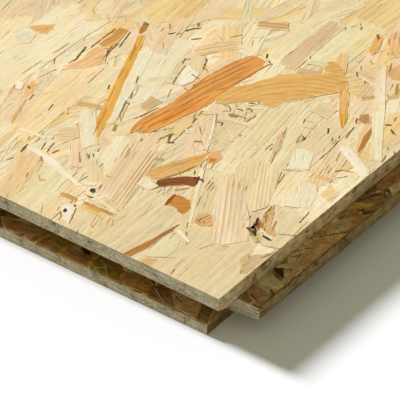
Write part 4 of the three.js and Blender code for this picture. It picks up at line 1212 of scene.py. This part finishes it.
def line_row(start, end, depth, width, *looks, longer=0, **more):
    """One strand laid from a start to an end."""
    (x0, y0), (x1, y1) = start, end
    return strand_row(((x0 + x1) / 2, (y0 + y1) / 2), depth, math.atan2(y1 - y0, x1 - x0),
                      math.hypot(x1 - x0, y1 - y0) + longer, width, *looks, **more)


def laid_lines(lines, depth=0):
    """Strands that are lines with a width."""
    rows = []
    for x0, y0, x1, y1, width, tone, kind, gap, contrast, bow, worn in lines:
        row = line_row((x0, y0), (x1, y1), depth, width, tone, kind, gap, contrast, worn)
        row["bow"] = bow * MM
        rows.append(row)
    return rows


def laid_chips(outlines, depth=0):
    """Strands with an outline of their own."""
    rows = []
    for tone, angle, gap, contrast, arch, worn, run in outlines:
        angle = math.radians(angle)
        arrays, middle, size = outlined_chip(pairs(run), angle)
        kind = len(chips)
        chips[kind] = [arrays] * VARIANTS
        row = strand_row(middle, depth, angle, *size, tone, kind, gap, contrast, worn)
        row["arch"] = arch
        rows.append(row)
    return rows


def laid_marks(marks, depth=0):
    """Thin slivers along bent lines."""
    rows = []
    for tone, width, run in marks:
        places = pairs(run)
        for start, end in zip(places, places[1:]):
            drawn_width = width * draw.uniform(0.6, 0.95)
            kind = draw.choice([RAGGED, SLIVER, SPLINTER])
            row = line_row(start, end, depth, drawn_width, tone, kind, longer=width * 0.8, worn=0)
            if row["length"] > LONG_MARK:
                row["kind"] = SLIVER
            row["bow"] = draw.normal(0, 0.1) * width * MM
            rows.append(row)
    return rows


# %% [markdown]
# Listed strands overlap, and two tops at one height would flicker in the render. Heights given by
# hand for hundreds of rows would be wrong somewhere, so a grid counts how many lie at each place, and a
# new strand goes one step above the highest that it lies on. The broad ones go under the random accents
# and the rest above everything, a few thousandths of a millimetre at a time.

# %% Stacking
LEVEL_CELL = 1.0 * MM
HAND_LAID_THICKNESS = 0.25 * MM
BROAD_HEIGHTS = -0.140, -0.115
UPPER_HEIGHTS = -0.060, -0.003


def in_strand_frame(row, at_x, at_y):
    """How far places lie along and across a strand."""
    cos, sin = math.cos(row["angle"]), math.sin(row["angle"])
    away_x, away_y = at_x - row["x"], at_y - row["y"]
    return away_x * cos + away_y * sin, away_y * cos - away_x * sin


def stacked(rows, lowest, highest):
    """The rows as one table, each a step above what it lies on; heights are in millimetres."""
    table = np.concatenate(rows)
    reach = np.hypot(table["length"], table["width"]) / 2 + LEVEL_CELL
    cells = [np.arange((table[axis] - reach).min(), (table[axis] + reach).max(), LEVEL_CELL)
             for axis in "xy"]
    grid_x, grid_y = np.meshgrid(*cells, indexing="ij")
    taken = np.zeros(grid_x.shape, int)
    levels = []
    for row in table:
        u, v = in_strand_frame(row, grid_x, grid_y)
        under = ((np.abs(u) < row["length"] / 2 + LEVEL_CELL)
                 & (np.abs(v) < row["width"] / 2 + abs(row["bow"]) + LEVEL_CELL))
        levels.append(taken[under].max() + 1)
        taken[under] = levels[-1]
    table["high"] = (lowest + (highest - lowest) * np.array(levels) / max(levels)) * MM
    table["thick"] = HAND_LAID_THICKNESS
    print("strands laid by hand:", len(table), "in", max(levels), "levels")
    return table


laid_table = np.concatenate([
    stacked(laid_lines(BROAD), *BROAD_HEIGHTS),
    stacked(laid_chips(OUTLINED) + laid_lines(NARROW) + laid_marks(MARKS), *UPPER_HEIGHTS)])

# %% [markdown]
# The random strands lie under the listed ones too, and could draw the eye from them. Left out
# near the corner, they would leave it with fewer small edges than the rest of the board. So there the
# strong and the glaring ones take a calm tone, the splinters are shorter and the long ones lie deeper.

# %% The top face's table
CORNER_REACH = 0.21
STRONG_BLUE = linear(0, 0, 145)[2]
GLARING_BLUE = linear(0, 0, 200)[2] * TONE_BALANCE[2]
CALM = ("cream", "straw", "rose", "oat", "pale")
NOTICED_LENGTH = 7 * MM
SPLINTER_WIDTH = 1.6 * MM
LONG_LENGTH, HIGHEST_LONG, LOWERED_BY = 16 * MM, -0.17 * MM, 0.07 * MM


def calmed(table):
    """Random strands, made plainer near the corner."""
    near = (table["x"] > corner.x - CORNER_REACH) & (table["y"] < corner.y + CORNER_REACH)
    strong = near & (table["tone"][:, 2] < STRONG_BLUE) & (table["length"] > NOTICED_LENGTH)
    calm = np.array([tones[name] for name in CALM])
    table["tone"][strong] = calm[draw.integers(0, len(calm), strong.sum())]
    table["contrast"][strong] *= 0.5
    table["tone"][near & (table["tone"][:, 2] > GLARING_BLUE)] = tones["pale"]
    table["length"][near & (table["width"] < SPLINTER_WIDTH)] *= 0.6
    lowered = near & (table["length"] > LONG_LENGTH) & (table["high"] > HIGHEST_LONG)
    table["high"][lowered] -= LOWERED_BY
    for tilt in ("tilt_along", "tilt_across"):
        table[tilt][near] *= 0.4
    return table


draw = np.random.default_rng(SEEDS["top"])
top_table = np.concatenate([calmed(pressed(top_box, TOP_LAYERS)), laid_table])
print("strands on the top face:", len(top_table))

# %% [markdown]
# ## What lies beneath a strand
# A strand is laid after those beneath it, so its corners can be told what tone they cover. A ray cast
# down from each corner would find it too, but slowly. Instead the face is a bed of small cells that
# hold the tone on top so far: a strand first reads the cells at its corners and then writes its own
# tone into the cells that it covers.

# %% Bed
BARE_TONE = "oat"
PLAIN_COVER = 0.46, 0.42


def within(outline, u, v):
    """Which places lie inside an outline: a ray from such a place crosses it an odd number of times."""
    odd = np.zeros(u.shape, bool)
    for (u0, v0), (u1, v1) in zip(outline, np.roll(outline, -1, axis=0)):
        if v0 != v1:
            odd ^= ((v0 > v) != (v1 > v)) & (u < u0 + (u1 - u0) * (v - v0) / (v1 - v0))
    return odd


class Bed:
    """The tone on top at each place of a face while its strands are being laid."""

    def __init__(self, box, cell):
        self.cell = cell
        self.low = np.array(box[0]) - cell
        cells = np.ceil((np.array(box[1]) - self.low) / cell).astype(int) + 1
        self.tones = np.tile(tones[BARE_TONE], (*cells, 1))

    def cells_at(self, places):
        return ((places - self.low) / self.cell).astype(int)

    def under(self, places):
        """The tone at each place."""
        cells = np.clip(self.cells_at(places), 0, np.array(self.tones.shape[:2]) - 1)
        return self.tones[cells[:, 0], cells[:, 1]]

    def cover(self, row, places, outline):
        """A strand hides what lies beneath it, but for its thin border."""
        first = np.maximum(self.cells_at(places.min(0)), 0)
        last = np.minimum(self.cells_at(places.max(0)) + 1, self.tones.shape[:2])
        if (first >= last).any():
            return
        cell_x = self.low[0] + (np.arange(first[0], last[0]) + 0.5)[:, None] * self.cell
        cell_y = self.low[1] + (np.arange(first[1], last[1]) + 0.5)[None, :] * self.cell
        u, v = in_strand_frame(row, cell_x, cell_y)
        u, v = u / row["length"], v / row["width"]
        if outline is None:
            covered = (np.abs(u) < PLAIN_COVER[0]) & (np.abs(v) < PLAIN_COVER[1])
        else:
            covered = within(outline, u, v)
        self.tones[first[0]:last[0], first[1]:last[1]][covered] = row["tone"]


print("a plain strand covers", round(4 * PLAIN_COVER[0] * PLAIN_COVER[1], 2), "of its rectangle")

# %% [markdown]
# ## From table to mesh
# An object for each of thirty thousand strands would make Blender crawl, and instances would have to be
# made real for an export. So the corners of all strands of a strip are worked out as arrays and joined
# into one mesh, the lowest strand first, together with the attributes that the material reads.

# %% Joined strands
ATTRIBUTES = {"Strand": "FLOAT_VECTOR", "Form": "FLOAT_VECTOR", "Figure": "FLOAT_VECTOR",
              "Tone": "FLOAT_COLOR", "Beneath": "FLOAT_COLOR"}


def strand_arrays(table, side, box, cell):
    """Places, faces and attributes of the strands in a table; side is -1 on the underside."""
    places, sides, tops = [], [], []
    values = {title: [] for title in ATTRIBUTES}
    bed = Bed(box, cell)
    count = 0
    for row in np.sort(table, order="high"):
        unit, faces, is_top, from_outline, outline = chips[row["kind"]][row["variant"]]
        u = unit[:, 0] * row["length"]
        v = unit[:, 1] * row["width"]
        bent = v + row["bow"] * (4 * unit[:, 0] ** 2 - 0.33)
        cos, sin = math.cos(row["angle"]), math.sin(row["angle"])
        flat = np.stack([row["x"] + u * cos - bent * sin, row["y"] + u * sin + bent * cos], 1)
        rise = (row["high"] + row["tilt_along"] * unit[:, 0] * 2 + row["tilt_across"] * unit[:, 1] * 2
                + unit[:, 2] * row["thick"])
        places.append(np.column_stack([flat, side * rise]))

        ones = np.ones((len(u), 1))
        seed = (row["x"] * 37.7 + row["y"] * 91.3) % 1 * 10
        values["Strand"].append(np.column_stack([u, v, seed * ones]))
        values["Form"].append(ones * (row["length"] / 2, row["width"] / 2, row["gap"]))
        values["Figure"].append(ones * (row["slant"], row["arch"], row["contrast"]))
        values["Tone"].append(ones * (*row["tone"], row["worn"]))
        values["Beneath"].append(np.insert(bed.under(flat), 3, from_outline, axis=1))
        bed.cover(row, flat, outline)
        for face, top in zip(faces, is_top):
            loop = [vert + count for vert in (face if side > 0 else face[::-1])]
            (tops if top else sides).append(loop)
        count += len(u)
    return np.concatenate(places), sides + tops, values


def joined(name, table, side, box, cell):
    """The strands of a table as one mesh."""
    places, faces, values = strand_arrays(table, side, box, cell)
    mesh = bpy.data.meshes.new(name)
    mesh.from_pydata(places, [], faces)
    for title, kind in ATTRIBUTES.items():
        layer = mesh.attributes.new(title, kind, "POINT")
        field = "color" if kind == "FLOAT_COLOR" else "vector"
        layer.data.foreach_set(field, np.concatenate(values[title]).astype(np.float32).ravel())
    order = mesh.attributes.new("Order", "INT", "FACE")
    order.data.foreach_set("value", np.arange(len(faces), dtype=np.int32))
    return mesh


# %% [markdown]
# Strands reach over the border of their strip, as they do before the board is sawn. A Boolean with a
# box would trim them, but it is slow and fragile on thousands of crossing shells. bisect_plane cuts
# each shell by itself at the plane of the border, and holes_fill closes the cut. Further cuts across
# the strip only divide it, for the bake's map, and one along a groove lets its strands bend where the
# floor does. Then the whole strip drops on its surface.

# %% Clipping
EDGE_INSET = 0.03 * MM


def inset(box):
    """A box a hair smaller, so that the strands' cut ends don't share a plane with the core's sides."""
    return np.add(box, [[EDGE_INSET], [-EDGE_INSET]])


def cut(shape, axis, at, facing=1, **clearing):
    """Cuts a shape at a plane across an axis, and returns the new edges."""
    point, way = [0, 0, 0], [0, 0, 0]
    point[axis], way[axis] = at, facing
    made = bmesh.ops.bisect_plane(shape, geom=shape.verts[:] + shape.edges[:] + shape.faces[:],
                                  plane_co=point, plane_no=way, **clearing)
    return [part for part in made["geom_cut"] if isinstance(part, bmesh.types.BMEdge)]


def fitted(mesh, surface, box, run, folds, ridge):
    """Clips a joined mesh to its box and drops it on its surface."""
    shape = bmesh.new()
    shape.from_mesh(mesh)
    for axis in (0, 1):
        for border, facing in zip(box, (-1, 1)):
            rim = cut(shape, axis, border[axis], facing, clear_outer=True)
            bmesh.ops.holes_fill(shape, edges=rim, sides=0)
    start, stop = box[0][run], box[1][run]
    for fold in range(1, folds):
        cut(shape, run, start + (stop - start) * fold / folds)
    if ridge is not None:
        cut(shape, 1 - run, ridge)
    for vert in shape.verts:
        vert.co.z += surface(vert.co)
    rank = shape.faces.layers.int["Order"]
    shape.faces.sort(key=lambda face: face[rank])
    shape.to_mesh(mesh)
    shape.free()


# %% [markdown]
# An exported model has its materials baked to pictures, which need a UV map. Smart UV Project would
# break a strip into thousands of islands. Seen from above a strip is flat, so its map is that view,
# and because a strip is long and narrow it is folded into columns side by side, which fill a square.

# %% Strips
MAP_MARGIN = 0.002


def read(items, field, width=1, kind=np.float32):
    """One field of all items of a mesh, as an array."""
    values = np.zeros(len(items) * width, kind)
    items.foreach_get(field, values)
    return values.reshape(-1, width) if width > 1 else values


def bake_map(mesh, box, run, folds):
    """A UV map: the strip seen from above, folded into columns."""
    start, near = box[0][run], box[0][1 - run]
    column_length, wide = (box[1][run] - start) / folds, box[1][1 - run] - near
    centres = read(mesh.polygons, "center", 3)
    column = np.clip(((centres[:, run] - start) / column_length).astype(int), 0, folds - 1)
    column = np.repeat(column, read(mesh.polygons, "loop_total", kind=np.int32))
    places = read(mesh.vertices, "co", 3)[read(mesh.loops, "vertex_index", kind=np.int32)]
    inside = 1 - 2 * MAP_MARGIN
    u = (column + MAP_MARGIN + inside * (places[:, 1 - run] - near) / wide) / folds
    v = MAP_MARGIN + inside * ((places[:, run] - start) / column_length - column)
    layer = mesh.uv_layers.new(name="OFBake")
    layer.data.foreach_set("uv", np.stack([u, v], 1).astype(np.float32).ravel())


def strip(name, table, surface, box, material, cell, side=1, run=1, folds=5, ridge=None):
    """One strip of strands that runs along an axis, as a closed mesh."""
    (low_x, low_y), (high_x, high_y) = box
    reach = np.hypot(table["length"], table["width"]) / 2 + np.abs(table["bow"])
    near = ((table["x"] + reach > low_x) & (table["x"] - reach < high_x)
            & (table["y"] + reach > low_y) & (table["y"] - reach < high_y))
    mesh = joined(name, table[near], side, box, cell)
    fitted(mesh, surface, box, run, folds, ridge)
    bake_map(mesh, box, run, folds)
    mesh.materials.append(material)
    piece = placed(name, mesh)
    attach(piece, "root")
    print(name, "has", len(mesh.polygons), "faces")


# %% The top face
FACE_CELL = 1.2 * MM


def face_strips(name, count, table, height, side, box):
    """The strands of one face, as strips along the panel."""
    (low_x, low_y), (high_x, high_y) = inset(box)
    borders = np.linspace(low_x, high_x, count + 1)
    for number, (strip_low, strip_high) in enumerate(zip(borders, borders[1:])):
        strip(f"{name}_{number + 1}", table, lambda place: height,
              ((strip_low, low_y), (strip_high, high_y)), strand_wood, FACE_CELL, side)


face_strips("top_strands", 8, top_table, panel_high.z, 1, top_box)

# %% [markdown]
# ## The underside
# The underside is pressed from the same strands. A mirrored copy of the top would do from afar, but
# someone who turns the panel over would find the same strands again, so it gets a draw of its own, with
# fewer small ones because it is seldom seen. Its heights count downwards, and the faces of each chip
# are turned round. It ends at the lower shoulder, which stands back under the tongue.

# %% Underside
LOWER_SETBACK = 6 * MM
UNDER_LAYERS = {
    "broad": dict(count=1700, length=(0.075, 0.125), width=(0.018, 0.034), turned_by=12, rows=20,
                  high=(-0.31, -0.27), palette=PALE, kinds=[SQUARE, SLANTED]),
    "long": dict(count=1700, length=(0.050, 0.120), width=(0.008, 0.028), turned_by=18,
                 high=(-0.26, -0.18), palette=MIXED, kinds=LONG),
    "narrow": dict(count=1500, length=(0.025, 0.080), width=(0.004, 0.014), turned_by=28,
                   high=(-0.18, -0.12), palette=MIXED, kinds=[SLANTED, POINTED, LEAF, SQUARE]),
    "splinters": dict(count=1900, length=(0.004, 0.020), width=(0.0006, 0.002), turned_by=45,
                      high=(-0.12, -0.08), palette=FINE, kinds=[SPLINTER, SLIVER],
                      clusters=(260, 0.012)),
    "accents": dict(count=350, length=(0.030, 0.090), width=(0.003, 0.013), turned_by=24,
                    high=(-0.08, -0.05), palette=ACCENT, kinds=LONG),
}

draw = np.random.default_rng(SEEDS["underside"])
under_box = ((panel_low.x, panel_low.y), (panel_high.x - TONGUE_REACH - LOWER_SETBACK,
                                         panel_high.y - TONGUE_REACH - LOWER_SETBACK))
under_table = pressed(under_box, UNDER_LAYERS)
face_strips("under_strands", 5, under_table, panel_low.z, -1, under_box)

# %% [markdown]
# ## The opened strands of the tongues and grooves
# The cutter leaves flat strands of the inner layers lying open on the tongues and in the grooves. They
# are browner than the face, because finer wood and more resin are used inside, and they are turned
# every way. Painting them would do for the depth of a groove, but the tongue's are seen from close by,
# so they are laid as the face's are, with small dark slivers between them as painted shade in torn
# holes. Those near the corner are laid one by one, in lists of the same form as the top's.

# %% Tongue strands laid one by one
TONGUE_CHIPS = [
    ("khaki", 70, 2.0, 0.4, 0, 0, (-2, 34, 3, 41, 4, 47, 2, 56, -2, 60)),
    ("drab", 75, 2.0, 0.5, 0, 0, (4, 47, 9, 46, 11.5, 34, 8, 32, 5, 37, 3, 41)),
    ("khaki", 62, 2.0, 0.3, 0, 0, (-1.3, 26.9, -2.2, 31.6, 0.1, 35.4, 4.3, 33.3, 7.9, 32.9, 11.7, 30.5,
     10.8, 26.6, 7.3, 26, 3, 26.5)),
    ("clay", 20, 1.6, 0.6, 0, 0, (-1, 20.8, -1.4, 23.7, 0.9, 24.9, 5.6, 24.8, 8.8, 24, 10.9, 20.3,
     11.9, 14.7, 8.4, 14.2, 4.2, 16.3, 0.9, 18)),
    ("olive", 60, 1.4, 0.5, 0, 0, (-3.3, 43.4, -0.6, 47.6, 2, 44.2, 0.7, 41.6, -1.8, 41.4)),
    ("tan", 70, 2.0, 0.4, 0, 0, (5.4, 45.7, 1.9, 53.7, 0.5, 60, 2.1, 65.5, 4.8, 68, 11.3, 76.7, 12.3, 71.1,
     11.7, 63.2, 11.1, 55.4, 10.4, 49.5, 9.9, 44.9)),
    ("taupe", 62, 2.0, 0.3, 0, 0, (2.1, 70.7, 0.7, 76, 2.5, 80.5, 6, 85.3, 8.3, 80.7, 8.8, 77.4, 6.2, 73.9,
     3.9, 70)),
    ("clay", 50, 1.8, 0.5, 0, 0, (4.9, 83.4, 5.4, 87, 10.2, 88.5, 12.2, 85.8, 12.8, 79.9, 11.2, 77.6,
     7.5, 79.1)),
    ("clay", 55, 1.8, 0.5, 0, 0, (-2.1, 63.3, -2.1, 67.6, 1.4, 70.7, 3.6, 68.7, 0.2, 64.6)),
    ("amber", 40, 1.6, 0.6, 0, 0, (-2, 89.9, -1.3, 92.5, 2.5, 94.3, 6, 94.8, 6.9, 92.9, 3.7, 91,
     1.1, 88.4)),
    ("sand", 50, 1.6, 0.5, 0, 0, (4.7, 108.6, 6, 116, 11, 112, 11, 104)),
    ("bark", 60, 1.2, 0.4, 0, 0, (-1.5, 38.4, 0.3, 38.7, 2.3, 40.3, 4.8, 37.9, 7.5, 35.2, 6.5, 33.9,
     2.3, 36, 0, 36.9)),
]
TONGUE_MARKS = [
    ("bark", 0.8, (-1.8, 60.4, 0.5, 64.2, 4.3, 68.7, 7.4, 73.2)),
    ("red_brown", 0.7, (7.4, 73.2, 11.3, 77.2)), ("bark", 1.1, (2.9, 18, 5.4, 17.2, 7, 16.9)),
    ("bark", 0.8, (10.6, 19.4, 10.4, 17)), ("dark", 0.6, (2.2, 25.8, 6.8, 26.7)),
    ("bark", 1.4, (3.6, 89.4, 6.6, 90.6)), ("bark", 1.5, (6.3, 87.6, 7.7, 90.9)),
    ("bark", 1.2, (4.6, 91.1, 7.2, 88.9, 8.5, 92)), ("bark", 1.0, (4.9, 41.2, 6.7, 40.9)),
    ("dark", 0.8, (-0.2, 62.6, 1.1, 62.6)), ("straw", 0.9, (1, 100.6, 2.9, 104.1, 6.3, 105.6)),
    ("straw", 0.9, (3.9, 98.5, 5.8, 102.1, 7.2, 105.3)), ("bark", 0.9, (2.4, 99.5, 4.2, 102.4, 7, 103)),
    ("bark", 0.9, (0.3, 105.3, 5.2, 105.4, 7.8, 102)), ("dark", 1.0, (0.8, 48, 3.4, 52)),
    ("dark", 0.9, (2, 56, 4.4, 58.4)), ("dark", 0.7, (8, 40, 9.4, 44)),
    ("dark", 0.8, (1.4, 97.4, 4.6, 98.6)), ("dark", 0.7, (7, 96, 9.4, 99.4)),
]
TONGUE_DEPTH = 8
OPENED_HEIGHTS = 0.054, 0.075
tongue_laid = stacked(laid_chips(TONGUE_CHIPS, TONGUE_DEPTH) + laid_marks(TONGUE_MARKS, TONGUE_DEPTH),
                      *OPENED_HEIGHTS)

# %% Groove strands laid one by one
GROOVE_CHIPS = [
    ("clay", 5, 1.6, 0.4, 0, 0, (-116, 5.2, -108.4, 7.5, -94.3, 9, -92.1, 4.9, -100.2, 3.3, -109.6, -0.6)),
    ("olive", -20, 1.6, 0.5, 0, 0, (-94.3, 7.8, -85.1, 4.3, -83.1, 3.5, -81.5, 7.1, -79.7, 8.5, -90, 9.4)),
    ("clay", 0, 1.6, 0.5, 0, 0, (-82.5, 1.7, -80.4, 5.6, -69.9, 3.1, -68.2, 0.9, -75, 0.4, -80.3, -0.2)),
    ("olive", 10, 1.4, 0.6, 0, 0, (-69.5, 4.6, -66.8, 6.6, -54.9, 5.2, -53.1, 1.9, -57.3, -0.2,
     -63.8, 0.8)),
    ("ochre", 5, 1.8, 0.5, 0, 0, (-53.8, 3.7, -52.6, 6.9, -45.4, 7.8, -36.8, 5, -37.3, -0.1, -43, -1,
     -49, 0.3)),
    ("sand", 10, 1.8, 0.4, 0, 0, (-32.2, 8.4, -20.6, 10.2, -14.5, 7.9, -11.9, 0.6, -23.2, 1.3)),
    ("clay", 70, 1.8, 0.4, 0, 0, (-9, 8.8, -3.7, 8, -3, 1.2, -6.4, 0.4)),
    ("bark", 20, 1.2, 0.4, 0, 0, (-76.4, 7.5, -76.1, 9.4, -71.3, 7.9, -70.9, 6.4, -72.6, 5.7)),
]
GROOVE_MARKS = [
    ("bark", 1.6, (-76, 8.4, -71.6, 7)), ("bark", 1.2, (-42.2, 5.5, -40.7, 5.5)),
    ("dark", 1.0, (-44.1, 0.6, -40.8, 1)), ("oat", 1.0, (-40.1, 7.1, -29.3, 1.3)),
    ("dark", 0.9, (-38.6, 6.4, -30, 2.4)), ("bark", 0.9, (-12.7, 3.2, -10.4, 0.6)),
    ("dark", 0.9, (-14, 1.6, -11, 1.2)), ("oat", 0.6, (-108.3, 1.7, -105.1, 1.3)),
    ("oat", 0.6, (-100.4, 0.9, -95.5, 1)), ("dark", 0.9, (-88, 6.6, -84, 4.6)),
    ("dark", 0.8, (-66, 5.4, -62, 2.6)), ("dark", 0.8, (-61, 5, -57.6, 3)),
    ("oat", 0.7, (-66, 1.4, -60, 5)), ("dark", 0.9, (-52, 5, -48, 3.6)), ("dark", 0.8, (-27, 6, -22, 4.4)),
    ("oat", 0.7, (-63, 6, -58, 1)), ("dark", 0.8, (-5, 6, -4, 3)),
]
GROOVE_DEPTH = 15.8
groove_laid = stacked(laid_chips(GROOVE_CHIPS, GROOVE_DEPTH) + laid_marks(GROOVE_MARKS, GROOVE_DEPTH),
                      *OPENED_HEIGHTS)

# %% Opened strands
INNER = dict(tan=11, amber=1, brown=4, gold_brown=4, olive=4, umber=13, khaki=8, oat=4, grey=12,
             dark=2, clay=5)
OPENED = dict(length=(0.006, 0.028), width=(0.0014, 0.007), turned_by=40, high=(-0.05, 0.05),
              palette=INNER, kinds=[RAGGED, SLANTED, LEAF, SLIVER])
# Torn holes are not cut: small dark slivers laid on top are painted shade in them.
TORN_HOLE_SHADE = dict(length=(0.002, 0.009), width=(0.0004, 0.0020), turned_by=50, high=(0.065, 0.075),
            palette=dict(bark=2, dark=2), kinds=[RAGGED, SPLINTER])
HAND_LAID_REACH = 0.13


def opened_strands(box, count, laid):
    """Strands open on a narrow milled face, and dark slivers: painted shade in holes the cutter has torn.
    """
    table = scattered(box, count, **OPENED)
    table["tone"] = np.minimum(table["tone"] * draw.uniform(1.14, 1.46, (count, 1)), 0.85)
    table["thick"] = HAND_LAID_THICKNESS
    table["contrast"] = draw.uniform(0.2, 0.8, count)
    table["worn"] = draw.uniform(0.3, 1.0, count)
    for field, share in (("gap", 0.7), ("tilt_along", 0.4), ("tilt_across", 0.4)):
        table[field] *= share
    # Dark slivers as painted shade in torn holes, left out near the corner.
    holes = scattered(box, count // 4, **TORN_HOLE_SHADE)
    holes["thick"], holes["tilt_along"], holes["tilt_across"] = HAND_LAID_THICKNESS, 0, 0
    holes = holes[np.hypot(holes["x"] - corner.x, holes["y"] - corner.y) > HAND_LAID_REACH]
    return np.concatenate([table, holes, laid])


# %% [markdown]
# The tongue's upper side is level. A groove's floor is not: it rises quickly on the bevel at its mouth
# and then gently inwards. Its strands could be laid level and sink into it, but they lie on it, so each
# corner is lifted by the height of the floor beneath it, and they are cut at the ridge between the two
# slopes so that they can bend there.

# %% Tongue and groove strands
TONGUE_TOP = 14.0 * MM
TONGUE_FLAT = 10.2 * MM
GROOVE_BACK = 12.4 * MM
BEVEL = 3.5 * MM
MOUTH_HEIGHT, BEVEL_HEIGHT = 4.949 * MM, 6.679 * MM
FLOOR_SLOPE = math.tan(math.radians(7))
HIDDEN = 0.6 * MM
OPENED_CELL = 0.5 * MM


def tongue_surface(place):
    return TONGUE_TOP


def groove_surface(axis):
    """The height of a groove's floor, as a function of the place."""
    mouth = panel_low[axis]

    def surface(place):
        depth = place[axis] - mouth
        if depth < BEVEL:
            return MOUTH_HEIGHT + (BEVEL_HEIGHT - MOUTH_HEIGHT) * depth / BEVEL
        return BEVEL_HEIGHT + FLOOR_SLOPE * (depth - BEVEL)

    return surface


back_x, back_y = panel_low.x + GROOVE_BACK, panel_low.y + GROOVE_BACK
mouth_x, mouth_y = panel_low.x + EDGE_INSET, panel_low.y + EDGE_INSET
shoulder_x, shoulder_y = panel_high.x - TONGUE_REACH, panel_high.y - TONGUE_REACH
tongue_x, tongue_y = shoulder_x + TONGUE_FLAT, shoulder_y + TONGUE_FLAT
lower_x = shoulder_x - LOWER_SETBACK - EDGE_INSET
along_y, along_x = dict(run=1, folds=15), dict(run=0, folds=8)
nothing = tongue_laid[:0]

draw = np.random.default_rng(SEEDS["opened"])
for name, box, count, laid, surface, course in (
        ("long_tongue_strands", ((shoulder_x - HIDDEN, back_y + HIDDEN), (tongue_x, tongue_y)),
         1500, tongue_laid, tongue_surface, along_y),
        ("short_tongue_strands", ((back_x + HIDDEN, shoulder_y - HIDDEN),
                                  (shoulder_x - HIDDEN, tongue_y)),
         400, nothing, tongue_surface, along_x),
        ("long_groove_strands", ((mouth_x, mouth_y), (back_x, shoulder_y - BEVEL)),
         1400, nothing, groove_surface(0), dict(along_y, ridge=panel_low.x + BEVEL)),
        ("short_groove_strands", ((back_x, mouth_y), (lower_x, back_y)),
         380, groove_laid, groove_surface(1), dict(along_x, ridge=panel_low.y + BEVEL))):
    strip(name, opened_strands(box, count, laid), surface, box, inner_wood, OPENED_CELL, **course)
